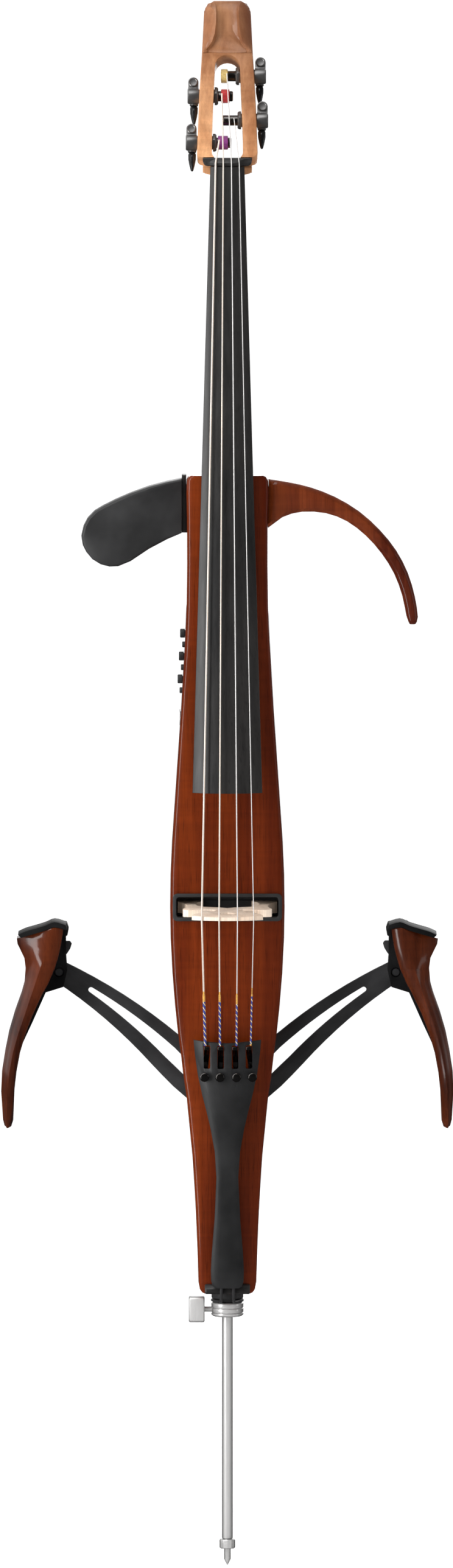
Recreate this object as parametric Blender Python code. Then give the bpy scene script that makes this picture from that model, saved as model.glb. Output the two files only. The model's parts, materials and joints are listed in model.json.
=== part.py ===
"""Electric frame cello: a slim solid body with a cello's neck, bridge and tailpiece, two folding arms
with knee rests, a shoulder arc and a folding chest rest.

Frame: metres, +Z up along the body, the front of the instrument faces -Y, +X is the player's left as
seen from the front (the right-hand side of a front view). The endpin's axis is X = 0, Y = 0 and its
tip is at Z = 0. Dimensions below are in millimetres."""

import math

import bmesh
import bpy
from mathutils import Matrix, Vector

MM = 0.001
GAP = 0.3  # clearance between pieces that touch on the real instrument

# Strings
BRIDGE_Y, BRIDGE_Z = -91.0, 601.0  # the strings cross the bridge here, 690 mm below the nut
STRING_R = (0.85, 0.65, 0.5, 0.4)
STRING_NUT_X = (-10.7, -3.7, 3.7, 10.8)
STRING_BRIDGE_X = (-23.3, -7.5, 9.2, 23.9)
STRING_TAIL_X = (-20.8, -6.7, 8.3, 21.4)
STRING_TOP_R = 62.0  # radius of the arch that the strings follow over the bridge

# Body: half width at each height
BODY_BOTTOM, BODY_TOP = 252.0, 1001.4
BODY_HALF = (
    (252, 25.6), (262, 26.6), (292, 27.5), (326, 28.9), (351, 30.3), (376, 31.9), (393, 33.6),
    (410, 35.3), (430, 37.2), (451, 40.3), (468, 42.2), (490, 45.2), (515, 47.8), (545, 50.2),
    (577, 51.8), (605, 52.3), (635, 51.9), (665, 50.6), (700, 48.3), (744, 45.3), (789, 42.2),
    (822, 40.3), (850, 38.7), (880, 37.5), (920, 37.0), (960, 37.1), (985, 37.6), (1000, 37.6),
)
FRONT_Y = -25.0  # crown of the front plate
SEAM_Y = -20.0  # glue line between the front plate and the shell
BACK_Y = ((252, 21.0), (420, 27.0), (600, 33.0), (800, 30.0), (1000, 26.0))

# Neck and fingerboard
BOARD_TOP, BOARD_END = 1282.5, 715.0
BOARD_HALF_TOP, BOARD_HALF_END = 15.5, 31.7
BOARD_TOP_Y, BOARD_END_Y = -6.0, -72.0  # crown of the playing surface
GLUE_TOP_Y, GLUE_END_Y = 4.3, -55.3  # flat underside
BOARD_R = 62.0
HEEL_END = 850.0

# Pegbox, leaning back from the foot of its front face
PEG_LEAN = math.radians(21.0)
PEG_Y, PEG_Z = -3.0, 1290.5
PEG_THICK = 26.0
POST_N = -10.0  # depth of the tuner posts behind the pegbox's front face
TUNERS = (  # name, side, height of the post up the pegbox
    ("c", -1, 17.2),
    ("g", -1, 61.7),
    ("d", 1, 80.9),
    ("a", 1, 38.6),
)
POST_R = 4.8

# Bridge recess
RECESS_Z = 607.0

# Arms
ARM_T = 4.0


def material(name, colour, roughness=0.5, metallic=0.0):
    """A Principled material, one for each piece."""
    made = bpy.data.materials.new(name)
    made.use_nodes = True
    shader = made.node_tree.nodes["Principled BSDF"]
    shader.inputs["Base Color"].default_value = (*colour, 1.0)
    shader.inputs["Roughness"].default_value = roughness
    shader.inputs["Metallic"].default_value = metallic
    made.diffuse_color = (*colour, 1.0)
    return made


SUNBURST = ((0.24, 0.055, 0.018), 0.12, 0.0)
MAPLE = ((0.48, 0.22, 0.09), 0.35, 0.0)
PALE = ((0.80, 0.62, 0.42), 0.5, 0.0)
EBONY = ((0.012, 0.011, 0.010), 0.35, 0.0)
BLACK = ((0.02, 0.02, 0.021), 0.45, 0.0)
RUBBER = ((0.03, 0.03, 0.03), 0.75, 0.0)
STEEL = ((0.72, 0.72, 0.73), 0.25, 1.0)
NICKEL = ((0.10, 0.095, 0.09), 0.2, 1.0)
IRON = ((0.03, 0.03, 0.033), 0.4, 0.8)
GREEN = ((0.02, 0.12, 0.05), 0.5, 0.0)


def finish(name, bm, look, origin=(0.0, 0.0, 0.0), angle=35.0):
    """Turns a bmesh in millimetres into a named object whose origin is the given point."""
    bmesh.ops.recalc_face_normals(bm, faces=bm.faces)
    if bm.calc_volume(signed=True) < 0:
        bmesh.ops.reverse_faces(bm, faces=bm.faces)
    to_local = Matrix.Translation([-c * MM for c in origin]) @ Matrix.Scale(MM, 4)
    bm.transform(to_local)
    mesh = bpy.data.meshes.new(name)
    bm.to_mesh(mesh)
    bm.free()
    mesh.shade_smooth()
    mesh.set_sharp_from_angle(angle=math.radians(angle))
    obj = bpy.data.objects.new(name, mesh)
    obj.location = [c * MM for c in origin]
    bpy.context.scene.collection.objects.link(obj)
    mesh.materials.append(material(name, *look))
    return obj


def loft(bm, rings, closed_path=False):
    """Skins rings that have the same number of points, and caps the ends unless the path closes."""
    made = [[bm.verts.new(p) for p in ring] for ring in rings]
    count = len(made[0])
    pairs = list(zip(made, made[1:] + made[:1] if closed_path else made[1:]))
    for low, high in pairs:
        for i in range(count):
            j = (i + 1) % count
            bm.faces.new((low[i], low[j], high[j], high[i]))
    if not closed_path:
        bm.faces.new(made[0][::-1])
        bm.faces.new(made[-1])
    return bm


def prism(bm, outline, place, low, high):
    """Extrudes a 2D outline between two depths. place(a, b, depth) gives the point in space."""
    return loft(bm, [[place(a, b, low) for a, b in outline], [place(a, b, high) for a, b in outline]])


def turned(bm, profile, frame, segments=24, hollow=False):
    """Revolves (radius, height) about the frame's Z axis. A hollow profile closes on itself."""
    profile = list(profile)
    if not hollow:  # a flat end is one face
        if profile[0][0] < 0.05 and profile[0][1] == profile[1][1]:
            profile = profile[1:]
        if profile[-1][0] < 0.05 and profile[-1][1] == profile[-2][1]:
            profile = profile[:-1]
    rings = []
    for radius, height in profile:
        ring = []
        for i in range(segments):
            a = 2 * math.pi * i / segments
            ring.append(frame @ Vector((radius * math.cos(a), radius * math.sin(a), height)))
        rings.append(ring)
    loft(bm, rings, closed_path=hollow)
    if not hollow and min(profile[0][0], profile[-1][0]) < 0.05:
        bmesh.ops.remove_doubles(bm, verts=bm.verts, dist=0.05)  # closes a pole to one point
    return bm


def box(bm, low, high, place=lambda x, y, z: (x, y, z)):
    (x0, y0, z0), (x1, y1, z1) = low, high
    outline = [(x0, z0), (x1, z0), (x1, z1), (x0, z1)]
    return prism(bm, outline, lambda a, b, d: place(a, d, b), y0, y1)


def axis_frame(origin, direction):
    """A matrix whose Z axis runs along the direction from the origin."""
    turn = Vector(direction).normalized().to_track_quat("Z", "Y").to_matrix().to_4x4()
    return Matrix.Translation(origin) @ turn


def rounded(outline, radius, steps=4):
    """Rounds each corner of a 2D outline. radius is one number, or one for each corner."""
    count = len(outline)
    radii = radius if isinstance(radius, (list, tuple)) else [radius] * count
    made = []
    for i, (x, z) in enumerate(outline):
        here = Vector((x, z))
        before = (Vector(outline[i - 1]) - here).normalized()
        after = (Vector(outline[(i + 1) % count]) - here).normalized()
        turn = before.angle(after)
        if radii[i] <= 0 or turn > math.pi - 0.02:
            made.append((x, z))
            continue
        reach = radii[i] / math.tan(turn / 2)
        centre = here + (before + after).normalized() * radii[i] / math.sin(turn / 2)
        start, end = here + before * reach - centre, here + after * reach - centre
        sweep = start.angle_signed(end)
        for k in range(steps + 1):
            a = -sweep * k / steps
            c, s = math.cos(a), math.sin(a)
            made.append((centre.x + start.x * c - start.y * s, centre.y + start.x * s + start.y * c))
    return made


def smooth_curve(points, per_span=6, closed=False):
    """A Catmull-Rom curve through the points, as a list of Vectors."""
    pts = [Vector(p) for p in points]
    n = len(pts)
    made = []
    spans = n if closed else n - 1
    for i in range(spans):
        if closed:
            a, b, c, d = (pts[(i + k) % n] for k in (-1, 0, 1, 2))
        else:
            a, b, c, d = pts[max(i - 1, 0)], pts[i], pts[i + 1], pts[min(i + 2, n - 1)]
        for k in range(per_span):
            t = k / per_span
            made.append(
                0.5 * (2 * b + (c - a) * t + (2 * a - 5 * b + 4 * c - d) * t * t
                       + (3 * b - a - 3 * c + d) * t ** 3)
            )
    if not closed:
        made.append(pts[-1])
    return made


def between(table, z):
    """Straight-line reading of a table of (height, value)."""
    if z <= table[0][0]:
        return table[0][1]
    for (z0, v0), (z1, v1) in zip(table, table[1:]):
        if z <= z1:
            return v0 + (v1 - v0) * (z - z0) / (z1 - z0)
    return table[-1][1]


def combine(target, other, operation="DIFFERENCE", solver="EXACT"):
    """Adds a Boolean. The other object becomes a hidden helper."""
    modifier = target.modifiers.new(f"{operation.lower()}_{other.name}", "BOOLEAN")
    modifier.operation = operation
    modifier.solver = solver
    modifier.object = other
    other.hide_render = True
    other.display_type = "WIRE"
    return target


def helper(name, bm):
    return finish(name, bm, BLACK)


def board_top_y(z):
    return BOARD_TOP_Y + (BOARD_TOP - z) * (BOARD_END_Y - BOARD_TOP_Y) / (BOARD_TOP - BOARD_END)


def glue_y(z):
    return GLUE_TOP_Y + (BOARD_TOP - z) * (GLUE_END_Y - GLUE_TOP_Y) / (BOARD_TOP - BOARD_END)


def board_half(z):
    return BOARD_HALF_TOP + (BOARD_TOP - z) * (BOARD_HALF_END - BOARD_HALF_TOP) / (BOARD_TOP - BOARD_END)


def peg_point(x, u, n):
    """A point of the pegbox: x across, u up its front face, n in front of that face."""
    c, s = math.cos(PEG_LEAN), math.sin(PEG_LEAN)
    return Vector((x, PEG_Y + u * s - n * c, PEG_Z + u * c + n * s))


for old in list(bpy.data.objects):
    bpy.data.objects.remove(old)


# ---------------------------------------------------------------- body


def shell_section(z, inset=0.0):
    """The shell's outline at one height: flat at the glue line, full sides, a flattened round back."""
    half, back = between(BODY_HALF, z) - inset, between(BACK_Y, z) - inset
    ring = [(-half + 0.4, SEAM_Y, z), (-half + 0.1, -10.0, z)]
    for i in range(15):
        a = math.pi * i / 14
        c, s = math.cos(a), math.sin(a)
        x = -half * math.copysign(abs(c) ** (2 / 3.0), c)
        ring.append((x, -2.0 + (back + 2.0) * abs(s) ** (2 / 3.0), z))
    return ring + [(half - 0.1, -10.0, z), (half - 0.4, SEAM_Y, z)]


def plate_section(z, inset=0.0):
    """The front plate's outline at one height: a soft crown with rounded edges."""
    half = between(BODY_HALF, z) - inset
    low = SEAM_Y - GAP
    side = [(half - 0.4, low), (half - 0.5, -21.5), (half - 1.4, -22.9), (half - 3.2, -23.9),
            (half - 7.0, -24.4)]
    crown = [(half * 0.5, -24.8), (0.0, FRONT_Y)]
    right = [(x, y, z) for x, y in side + crown]
    return right + [(-x, y, z) for x, y, _ in right[-2::-1]]


def body_stations():
    """Heights of the sections. The lowest and highest pairs round the ends."""
    middle = [z for z, _ in BODY_HALF if BODY_BOTTOM + 4.0 < z < BODY_TOP - 4.5]
    return (
        [(BODY_BOTTOM, 5.0), (BODY_BOTTOM + 1.2, 2.2), (BODY_BOTTOM + 4.0, 0.5)]
        + [(z, 0.0) for z in middle]
        + [(BODY_TOP - 4.5, 0.4), (BODY_TOP - 1.4, 1.8), (BODY_TOP, 4.2)]
    )


bm = bmesh.new()
loft(bm, [shell_section(z, inset) for z, inset in body_stations()])
body = finish("body_shell", bm, SUNBURST)

bm = bmesh.new()
loft(bm, [plate_section(z, inset) for z, inset in body_stations()])
front = finish("front_plate", bm, SUNBURST)

# Mortise for the neck's heel, open at the top end and through the front plate
bm = bmesh.new()
box(bm, (-22.0, -30.0, HEEL_END - GAP), (22.0, -4.0 + GAP, 1010.0))
mortise = helper("cut_mortise", bm)
combine(body, mortise)
combine(front, mortise)

# Pocket for the bridge tray
bm = bmesh.new()
box(bm, (-48.6, -30.0, RECESS_Z - 11.4), (48.6, 0.0, RECESS_Z + 11.6))
pocket = helper("cut_bridge_pocket", bm)
combine(body, pocket)
combine(front, pocket)

# Bore for the endpin tube, wider at the foot for the plug
bm = bmesh.new()
turned(bm, [(0.01, 590.0), (8.4, 590.0), (8.4, 284.0), (12.6, 284.0), (12.6, 245.0), (0.01, 245.0)],
       Matrix.Identity(4), 24)
bore = helper("cut_endpin_bore", bm)
combine(body, bore)

# Control and battery cavity, open at the back, with a shallow seat for its cover
bm = bmesh.new()
box(bm, (-30.0, 0.0, 752.0), (26.0, 40.0, 878.0))
cavity = helper("cut_cavity", bm)
combine(body, cavity)
bm = bmesh.new()
box(bm, (-33.0, 26.0, 745.0), (33.0, 40.0, 885.0))
seat = helper("cut_cover_seat", bm)
combine(body, seat)

CONTROL_Y = 8.0
KNOB_Z = (855.2, 834.3, 813.4)
BUTTON_Z = (844.9, 824.0, 803.0)
JACKS = (("output_jack", 778.0, 5.6, 3.3),)


def side_x(z):
    """Outer face of the left side at the controls' depth."""
    return -(between(BODY_HALF, z) - 0.3)


for number, z in enumerate(KNOB_Z + BUTTON_Z):
    bm = bmesh.new()
    turned(bm, [(0.01, -50.0), (3.1, -50.0), (3.1, -25.0), (0.01, -25.0)],
           axis_frame((0, CONTROL_Y, z), (1, 0, 0)), 16)
    combine(body, helper(f"cut_control_{number}", bm))
for name, z, outer, _ in JACKS:
    bm = bmesh.new()
    turned(bm, [(0.01, -50.0), (outer + 0.2, -50.0), (outer + 0.2, -25.0), (0.01, -25.0)],
           axis_frame((0, 12.0, z), (1, 0, 0)), 20)
    combine(body, helper(f"cut_{name}", bm))

# Seat for the arms' bracket, flat across the back
BRACKET_Z, BRACKET_Y = 440.0, 26.0
bm = bmesh.new()
box(bm, (-60.0, BRACKET_Y, 415.0), (60.0, 50.0, 478.0))
combine(body, helper("cut_bracket_seat", bm))

# ---------------------------------------------------------------- neck, pegbox and head


def neck_section(z):
    """A D: flat under the fingerboard, round at the back."""
    flat = glue_y(z)
    half = between(((1000, 21.2), (1080, 19.0), (1180, 17.2), (1262, 15.7), (1274.2, 15.4), (1274.9, 18.6),
                    (1275.4, 20.4), (1276.6, 21.8), (1278.4, 22.4), (1281, 22.4)), z)
    depth = between(((1000, 21.0), (1040, 19.6), (1150, 18.6), (1262, 18.0), (1274, 20.0), (1281, 22.0)), z)
    power = between(((1000, 5.0), (1030, 3.0), (1060, 2.2), (1262, 2.2), (1281, 4.0)), z)
    ring = []
    for i in range(13):
        a = math.pi * i / 12
        c, s = math.cos(a), math.sin(a)
        x = -half * math.copysign(abs(c) ** (2 / power), c)
        ring.append((x, flat + 1.5 + (depth - 1.5) * abs(s) ** (2 / power), z))
    return [(-half, flat, z)] + ring + [(half, flat, z)]


bm = bmesh.new()
loft(bm, [neck_section(z) for z in (999.0, 1006.0, 1015.0, 1030.0, 1060.0, 1120.0, 1180.0, 1240.0, 1262.0,
                                    1274.2, 1274.9, 1275.4, 1276.6, 1278.4, 1281.0)])
neck = finish("neck", bm, MAPLE)

# Heel: fills the mortise and rises in a wedge under the fingerboard
bm = bmesh.new()
heel = []
for z, lift in ((HEEL_END, 5.0), (HEEL_END + 1.5, 1.5), (HEEL_END + 6.0, 0.0), (930.0, 0.0), (1001.0, 0.0)):
    half = 21.7
    front_edge = glue_y(z) + lift
    heel.append([(-half, front_edge, z), (half, front_edge, z), (half, -4.0, z), (-half, -4.0, z)])
loft(bm, heel)
combine(neck, helper("add_heel", bm), "UNION")

# Pegbox walls, with the long opening that the strings run through
outline = [(-27.8, 0.5), (27.8, 0.5), (25.6, 60.0), (23.2, 100.0), (22.3, 118.0), (21.3, 140.0),
           (18.0, 147.2), (12.0, 149.0), (-12.0, 149.0), (-18.0, 147.2), (-21.3, 140.0), (-22.3, 118.0),
           (-23.2, 100.0), (-25.6, 60.0)]
outline = rounded(outline, [4.0, 4.0] + [0.0] * 12, 3)
bm = bmesh.new()
loft(bm, [[peg_point(x * f, u * g + 1.0 - g, n) for x, u in outline]
          for n, f, g in ((-PEG_THICK, 0.95, 1.0), (-PEG_THICK + 1.5, 0.99, 1.0), (-1.5, 1.0, 1.0),
                          (0.0, 0.97, 1.0))])
combine(neck, helper("add_pegbox", bm), "UNION")

# Foot of the pegbox, joining it to the neck behind the nut
bm = bmesh.new()
loft(bm, [[(-22.3, back, z), (-22.3, front_edge, z), (22.3, front_edge, z), (22.3, back, z)]
          for z, front_edge, back in ((1276.0, 4.6, 23.0), (1286.0, 4.6, 25.5), (1300.0, 5.0, 26.0))])
combine(neck, helper("add_foot", bm), "UNION")

WALL_IN = ((5.0, 14.2), (22.0, 14.0), (50.0, 13.0), (87.0, 11.4))
WALL_OUT = ((0.5, 27.8), (60.0, 25.6), (100.0, 23.2))
arch = [(-14.2, -1.0), (14.2, -1.0), (14.0, 22.0), (13.0, 50.0)]
arch += [(11.4 * math.cos(math.pi * i / 10), 87.0 + 11.4 * math.sin(math.pi * i / 10)) for i in range(11)]
arch += [(-13.0, 50.0), (-14.0, 22.0)]
arch = rounded(arch, [6.0, 6.0] + [0.0] * (len(arch) - 2), 4)
bm = bmesh.new()
prism(bm, arch, peg_point, -45.0, 12.0)
opening = helper("cut_pegbox", bm)

# Head: a block above the opening with a hollow channel down its middle and two curved cheeks
bm = bmesh.new()
head = []
for u, half, high, valley, channel in ((100.0, 23.1, 0.6, 0.2, 20.0), (102.5, 23.0, 1.6, -1.4, 19.4),
                                       (105.0, 22.9, 3.4, -3.2, 17.0), (109.0, 22.7, 5.6, -4.0, 14.0),
                                       (116.0, 22.3, 7.8, -2.2, 11.6), (126.0, 21.9, 8.6, 1.6, 10.4),
                                       (136.0, 21.5, 8.0, 4.4, 10.2), (143.0, 20.2, 6.0, 4.6, 10.8),
                                       (147.0, 17.6, 4.0, 3.4, 12.0), (149.0, 12.6, 2.2, 2.2, 12.2)):
    right = [(half, -6.0), (half, min(high, 1.0) - 1.6), (half - 0.8, min(high, 1.0) - 0.4)]
    right += [(channel + (half - channel) * 0.5, (high + min(high, 1.0)) / 2 + 0.6), (channel, high)]
    right += [(channel * 0.86, valley + (high - valley) * 0.35), (channel * 0.45, valley + 0.1),
        (0.0, valley)]
    ring = right + [(-x, n) for x, n in right[-2::-1]]
    head.append([peg_point(x, u, n) for x, n in ring])
loft(bm, head)
combine(neck, helper("add_head", bm), "UNION")
combine(neck, opening)

# Holes for the tuner bushings
for string, side, u in TUNERS:
    bm = bmesh.new()
    centre = peg_point(0, u, POST_N)
    turned(bm, [(0.01, 8.0), (6.6, 8.0), (6.6, 34.0), (0.01, 34.0)], axis_frame(centre, (side, 0, 0)), 20)
    combine(neck, helper(f"cut_bushing_{string}", bm))

# ---------------------------------------------------------------- fingerboard and nut


def board_section(z):
    half, crown, flat = board_half(z), board_top_y(z), glue_y(z) - GAP
    ring = [(half, flat, z)]
    for i in range(9):
        x = half * (1 - i / 4)
        ring.append((x, crown + BOARD_R - math.sqrt(BOARD_R ** 2 - x * x), z))
    return ring + [(-half, flat, z)]


bm = bmesh.new()
loft(bm, [board_section(BOARD_END), board_section(BOARD_END + 1.0), board_section(BOARD_TOP - 0.5)])
board = finish("fingerboard", bm, EBONY)


def hollow_y(x, z, fade):
    """Roof of the hollow, arched across the fingerboard. fade is 0 where the hollow runs out."""
    reach = board_half(z) - 5
    step = 1.4 if abs(x) < reach - 0.5 else 0.0
    return glue_y(z) + 1.0 - fade * (5.5 * (1 - (x / reach) ** 2) + step)


# The free end is hollowed underneath
bm = bmesh.new()
loft(bm, [[(x, hollow_y(x, z, f), z)
           for x in [(board_half(z) - 5) * (1 - i / 4) for i in range(9)]]
          + [(-(board_half(z) - 5), glue_y(z) + 5.0, z), (board_half(z) - 5, glue_y(z) + 5.0, z)]
          for z, f in ((BOARD_END - 5.0, 1.0), (840.0, 0.8))])
combine(board, helper("cut_board_hollow", bm))


def nut_section(x):
    """Cut across the nut: it sits on the end of the fingerboard and leans on the pegbox."""
    corner = between(((0.0, 0.0), (18.4, 0.0), (20.2, 0.6), (21.5, 1.9), (22.4, 4.4)), abs(x))
    drop = 0.0 if abs(x) < 15.5 else 1.5
    crown = board_top_y(BOARD_TOP) + BOARD_R - math.sqrt(BOARD_R ** 2 - min(abs(x), 16.0) ** 2)
    top = crown - 0.9 + drop
    section = [(4.2, 0.0), (top + 1.0, 0.0), (top, 1.0), (top - 0.4, 3.0), (min(top + 0.9, -3.2), 4.6),
               (min(top + 2.9, -3.0), 6.8), (-2.4, 7.6), (0.6, 6.4), (4.2, 5.1)]
    return [(x, y, BOARD_TOP + (h if h > 5.0 else corner + h * (1.0 - corner / 5.0))) for y, h in section]


bm = bmesh.new()
NUT_X = (15.5, 18.4, 20.2, 21.5, 22.4)
loft(bm, [nut_section(x) for x in [-x for x in NUT_X[::-1]] + [-11.0, -5.5, 0.0, 5.5, 11.0] + list(NUT_X)])
finish("nut", bm, EBONY)

# ---------------------------------------------------------------- bridge


def sag(x, radius=STRING_TOP_R):
    """How far the strings' arch falls away from its crown."""
    return radius - math.sqrt(radius ** 2 - x * x)


TRAY_HALF, TRAY_LOW, TRAY_HIGH = 46.6, RECESS_Z - 9.2, RECESS_Z + 9.4
bm = bmesh.new()
box(bm, (-48.3, -25.6, TRAY_LOW - 1.8), (48.3, -0.4, TRAY_HIGH + 1.8))
tray = finish("bridge_frame", bm, BLACK)
bm = bmesh.new()
rim = rounded([(-49.8, TRAY_LOW - 3.4), (49.8, TRAY_LOW - 3.4), (49.8, TRAY_HIGH + 3.2),
    (-49.8, TRAY_HIGH + 3.2)], 4.0, 3)
prism(bm, rim, lambda a, b, d: (a, d, b), -27.0, -25.3)
combine(tray, helper("add_tray_rim", bm), "UNION")
bm = bmesh.new()
rim = rounded([(-TRAY_HALF, TRAY_LOW), (TRAY_HALF, TRAY_LOW), (TRAY_HALF, TRAY_HIGH),
    (-TRAY_HALF, TRAY_HIGH)], 2.5, 3)
prism(bm, rim, lambda a, b, d: (a, d, b), -32.0, -3.0)
combine(tray, helper("cut_tray", bm))

PICKUP_FACE = -5.0
bm = bmesh.new()
box(bm, (-44.5, PICKUP_FACE, 600.5), (44.5, -3.0 - GAP, 611.5))
finish("bridge_pickup", bm, BLACK)

BRIDGE_FOOT = PICKUP_FACE - GAP
BRIDGE_TAIL_FACE = 600.5
BRIDGE_HIGH = -BRIDGE_Y - 1.4 + BRIDGE_FOOT  # height of the crown above the feet
half_outline = [(6.0 * i, BRIDGE_HIGH - sag(6.0 * i)) for i in range(6)]
half_outline += [(32.4, BRIDGE_HIGH - 9.6), (31.6, BRIDGE_HIGH - 14.0), (27.2, 63.0), (24.2, 58.0),
    (24.6, 54.0),
                 (22.6, 49.4), (17.4, 48.0), (14.6, 51.6), (11.4, 50.6), (10.6, 45.6), (14.0, 42.2),
                 (21.0, 43.0),
                 (28.0, 45.4), (35.6, 46.6), (39.8, 44.2), (40.6, 39.6), (38.0, 34.0), (36.6, 26.0),
                 (37.6, 17.0),
                 (40.6, 10.0), (45.4, 5.2), (45.8, 0.0), (22.0, 0.0), (22.4, 3.6), (27.6, 8.0), (29.2, 15.0),
                 (27.6, 22.6), (21.6, 28.4), (14.0, 30.0), (7.0, 32.0), (0.0, 35.4)]
bridge_outline = half_outline + [(-x, h) for x, h in half_outline[-2:0:-1]]


def bridge_point(x, h, depth):
    thick = 11.0 - 7.8 * (h / BRIDGE_HIGH) ** 0.85 if h > 0 else 11.0
    return (x, BRIDGE_FOOT - h, BRIDGE_TAIL_FACE + depth * thick)


bm = bmesh.new()
prism(bm, bridge_outline, bridge_point, 0.0, 1.0)
bridge = finish("bridge", bm, PALE)
heart = []
for i in range(20):
    a = 2 * math.pi * i / 20
    heart.append((7.6 * math.sin(a) ** 3,
                  63.0 + 6.4 * (0.8125 * math.cos(a) - 0.3125 * math.cos(2 * a) - 0.125 * math.cos(3 * a))))
bm = bmesh.new()
prism(bm, heart, lambda a, b, d: (a, BRIDGE_FOOT - b, d), 590.0, 625.0)
combine(bridge, helper("cut_heart", bm))

# ---------------------------------------------------------------- tailpiece

TAIL_HALF = ((258.6, 10.6), (260.6, 13.4), (265.0, 14.8), (275.0, 15.1), (290.0, 14.3), (322.0, 11.7),
    (361.0, 10.0),
             (385.0, 11.6), (407.0, 15.6), (422.0, 19.2), (436.0, 22.8), (455.0, 27.0), (475.0, 29.8),
             (487.0, 30.8))
TAIL_TOP, TAIL_TOP_Y, TAIL_END_Y = 487.0, -49.6, -37.4
SLOT_X = (-18.6, -6.1, 7.0, 19.7)
SLOT_LOW, SLOT_HIGH = 461.0, 482.6
SCREW_X, SCREW_Z = (-20.9, -6.7, 8.3, 22.9), 453.6


def tail_crown(z):
    return TAIL_END_Y + (z - 258.6) * (TAIL_TOP_Y - TAIL_END_Y) / (TAIL_TOP - 258.6)


def tail_section(z, lift=0.0):
    half, crown = between(TAIL_HALF, z), tail_crown(z)
    top, under = [], []
    for i in range(9):
        x = half * (1 - i / 4)
        edge = abs(x) / half
        rise = 2.0 * (1 - edge ** 2) * (1.0 if z > 440 else 0.0)
        top.append((x, crown + sag(x, 60.0) + (0.9 if edge > 0.99 else 0.0), z - rise * 1.2))
        under.append((-x, crown + sag(x, 60.0) + 4.6 - (0.9 if edge > 0.99 else 0.0), z - rise * 1.2))
    return top + under


bm = bmesh.new()
loft(bm, [tail_section(z) for z, _ in TAIL_HALF])
tail = finish("tailpiece", bm, BLACK)
bm = bmesh.new()
for number, x in enumerate(SLOT_X):
    bm = bmesh.new()
    slot = rounded([(x - 3.0, SLOT_LOW), (x + 3.0, SLOT_LOW), (x + 3.0, SLOT_HIGH), (x - 3.0, SLOT_HIGH)],
        1.2, 2)
    prism(bm, slot, lambda a, b, d: (a, d, b), -60.0, -25.5)
    combine(tail, helper(f"cut_slot_{number}", bm))
    bm = bmesh.new()
    turned(bm, [(0.01, -30.0), (2.3, -30.0), (2.3, 30.0), (0.01, 30.0)],
           axis_frame((SCREW_X[number], tail_crown(SCREW_Z), SCREW_Z), (0, 1, 0)), 14)
    combine(tail, helper(f"cut_screw_{number}", bm))
for x in (-5.6, 5.6):
    bm = bmesh.new()
    turned(bm, [(0.01, 240.0), (2.2, 240.0), (2.2, 283.0), (0.01, 283.0)],
           axis_frame((x, tail_crown(262.0) + 3.2, 0.0), (0, 0, 1)), 12)
    combine(tail, helper(f"cut_cord_{'left' if x < 0 else 'right'}", bm))


def tube(bm, path, radius, sides=8):
    """A round bar along a path. radius may be one number, or one for each point."""
    pts = [Vector(p) for p in path]
    radii = radius if isinstance(radius, (list, tuple)) else [radius] * len(pts)
    rings = []
    side = None
    for i, p in enumerate(pts):
        ahead = (pts[min(i + 1, len(pts) - 1)] - p).normalized() if i < len(pts) - 1 else Vector()
        behind = (p - pts[max(i - 1, 0)]).normalized() if i else Vector()
        along = (ahead + behind).normalized()
        if side is None:
            side = along.orthogonal().normalized()
        side = (side - along * side.dot(along)).normalized()
        up = along.cross(side)
        turns = [2 * math.pi * k / sides for k in range(sides)]
        rings.append([p + (side * math.cos(t) + up * math.sin(t)) * radii[i] for t in turns])
    return loft(bm, rings)


# Fine tuners: a lever hung in each slot, and the screw that tips it
LEVER_PIVOT_Z = 479.4
for number, name in enumerate("cgda"):
    x, sx = SLOT_X[number], SCREW_X[number]
    crown = tail_crown(LEVER_PIVOT_Z) + sag(x, 60.0)
    pivot = (x, crown + 2.6, LEVER_PIVOT_Z)
    bm = bmesh.new()
    side_view = [(-4.2, 1.9), (0.6, 2.2), (1.8, 0.6), (1.8, -1.2), (7.2, -6.0), (9.6, -12.0), (9.6, -22.0),
                 (8.4, -31.0), (6.6, -31.0), (7.4, -22.0), (7.4, -13.0), (4.4, -8.0), (-1.8, -2.2),
                 (-4.2, -1.0)]
    spread = lambda dz: (sx - x) * min(max((-dz - 6.0) / 16.0, 0.0), 1.0)
    loft(bm, [[(pivot[0] + w + spread(dz), pivot[1] + dy, pivot[2] + dz) for dy,
        dz in side_view] for w in (-2.5, 2.5)])
    finish(f"fine_lever_{name}", bm, NICKEL, pivot)
    crown = tail_crown(SCREW_Z) + sag(sx, 60.0)
    lift = 0.4 + 0.085 * abs(sx)  # clears the curved face
    head = (sx, crown - lift, SCREW_Z)
    bm = bmesh.new()
    # head outside, shank through the tailpiece, point just clear of the lever
    reach = (tail_crown(LEVER_PIVOT_Z) + sag(x, 60.0) + 2.6 + 7.4) - (crown - lift) - 3 * GAP
    turned(bm, [(0.01, -4.6), (3.4, -4.6), (4.2, -3.8), (4.2, -0.6), (3.8, 0.0), (2.0, 0.0),
        (2.0, reach - 1.2),
                (1.0, reach), (0.01, reach)], axis_frame(head, (0, 1, 0)), 16)
    finish(f"fine_screw_{name}", bm, NICKEL, head)

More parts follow.
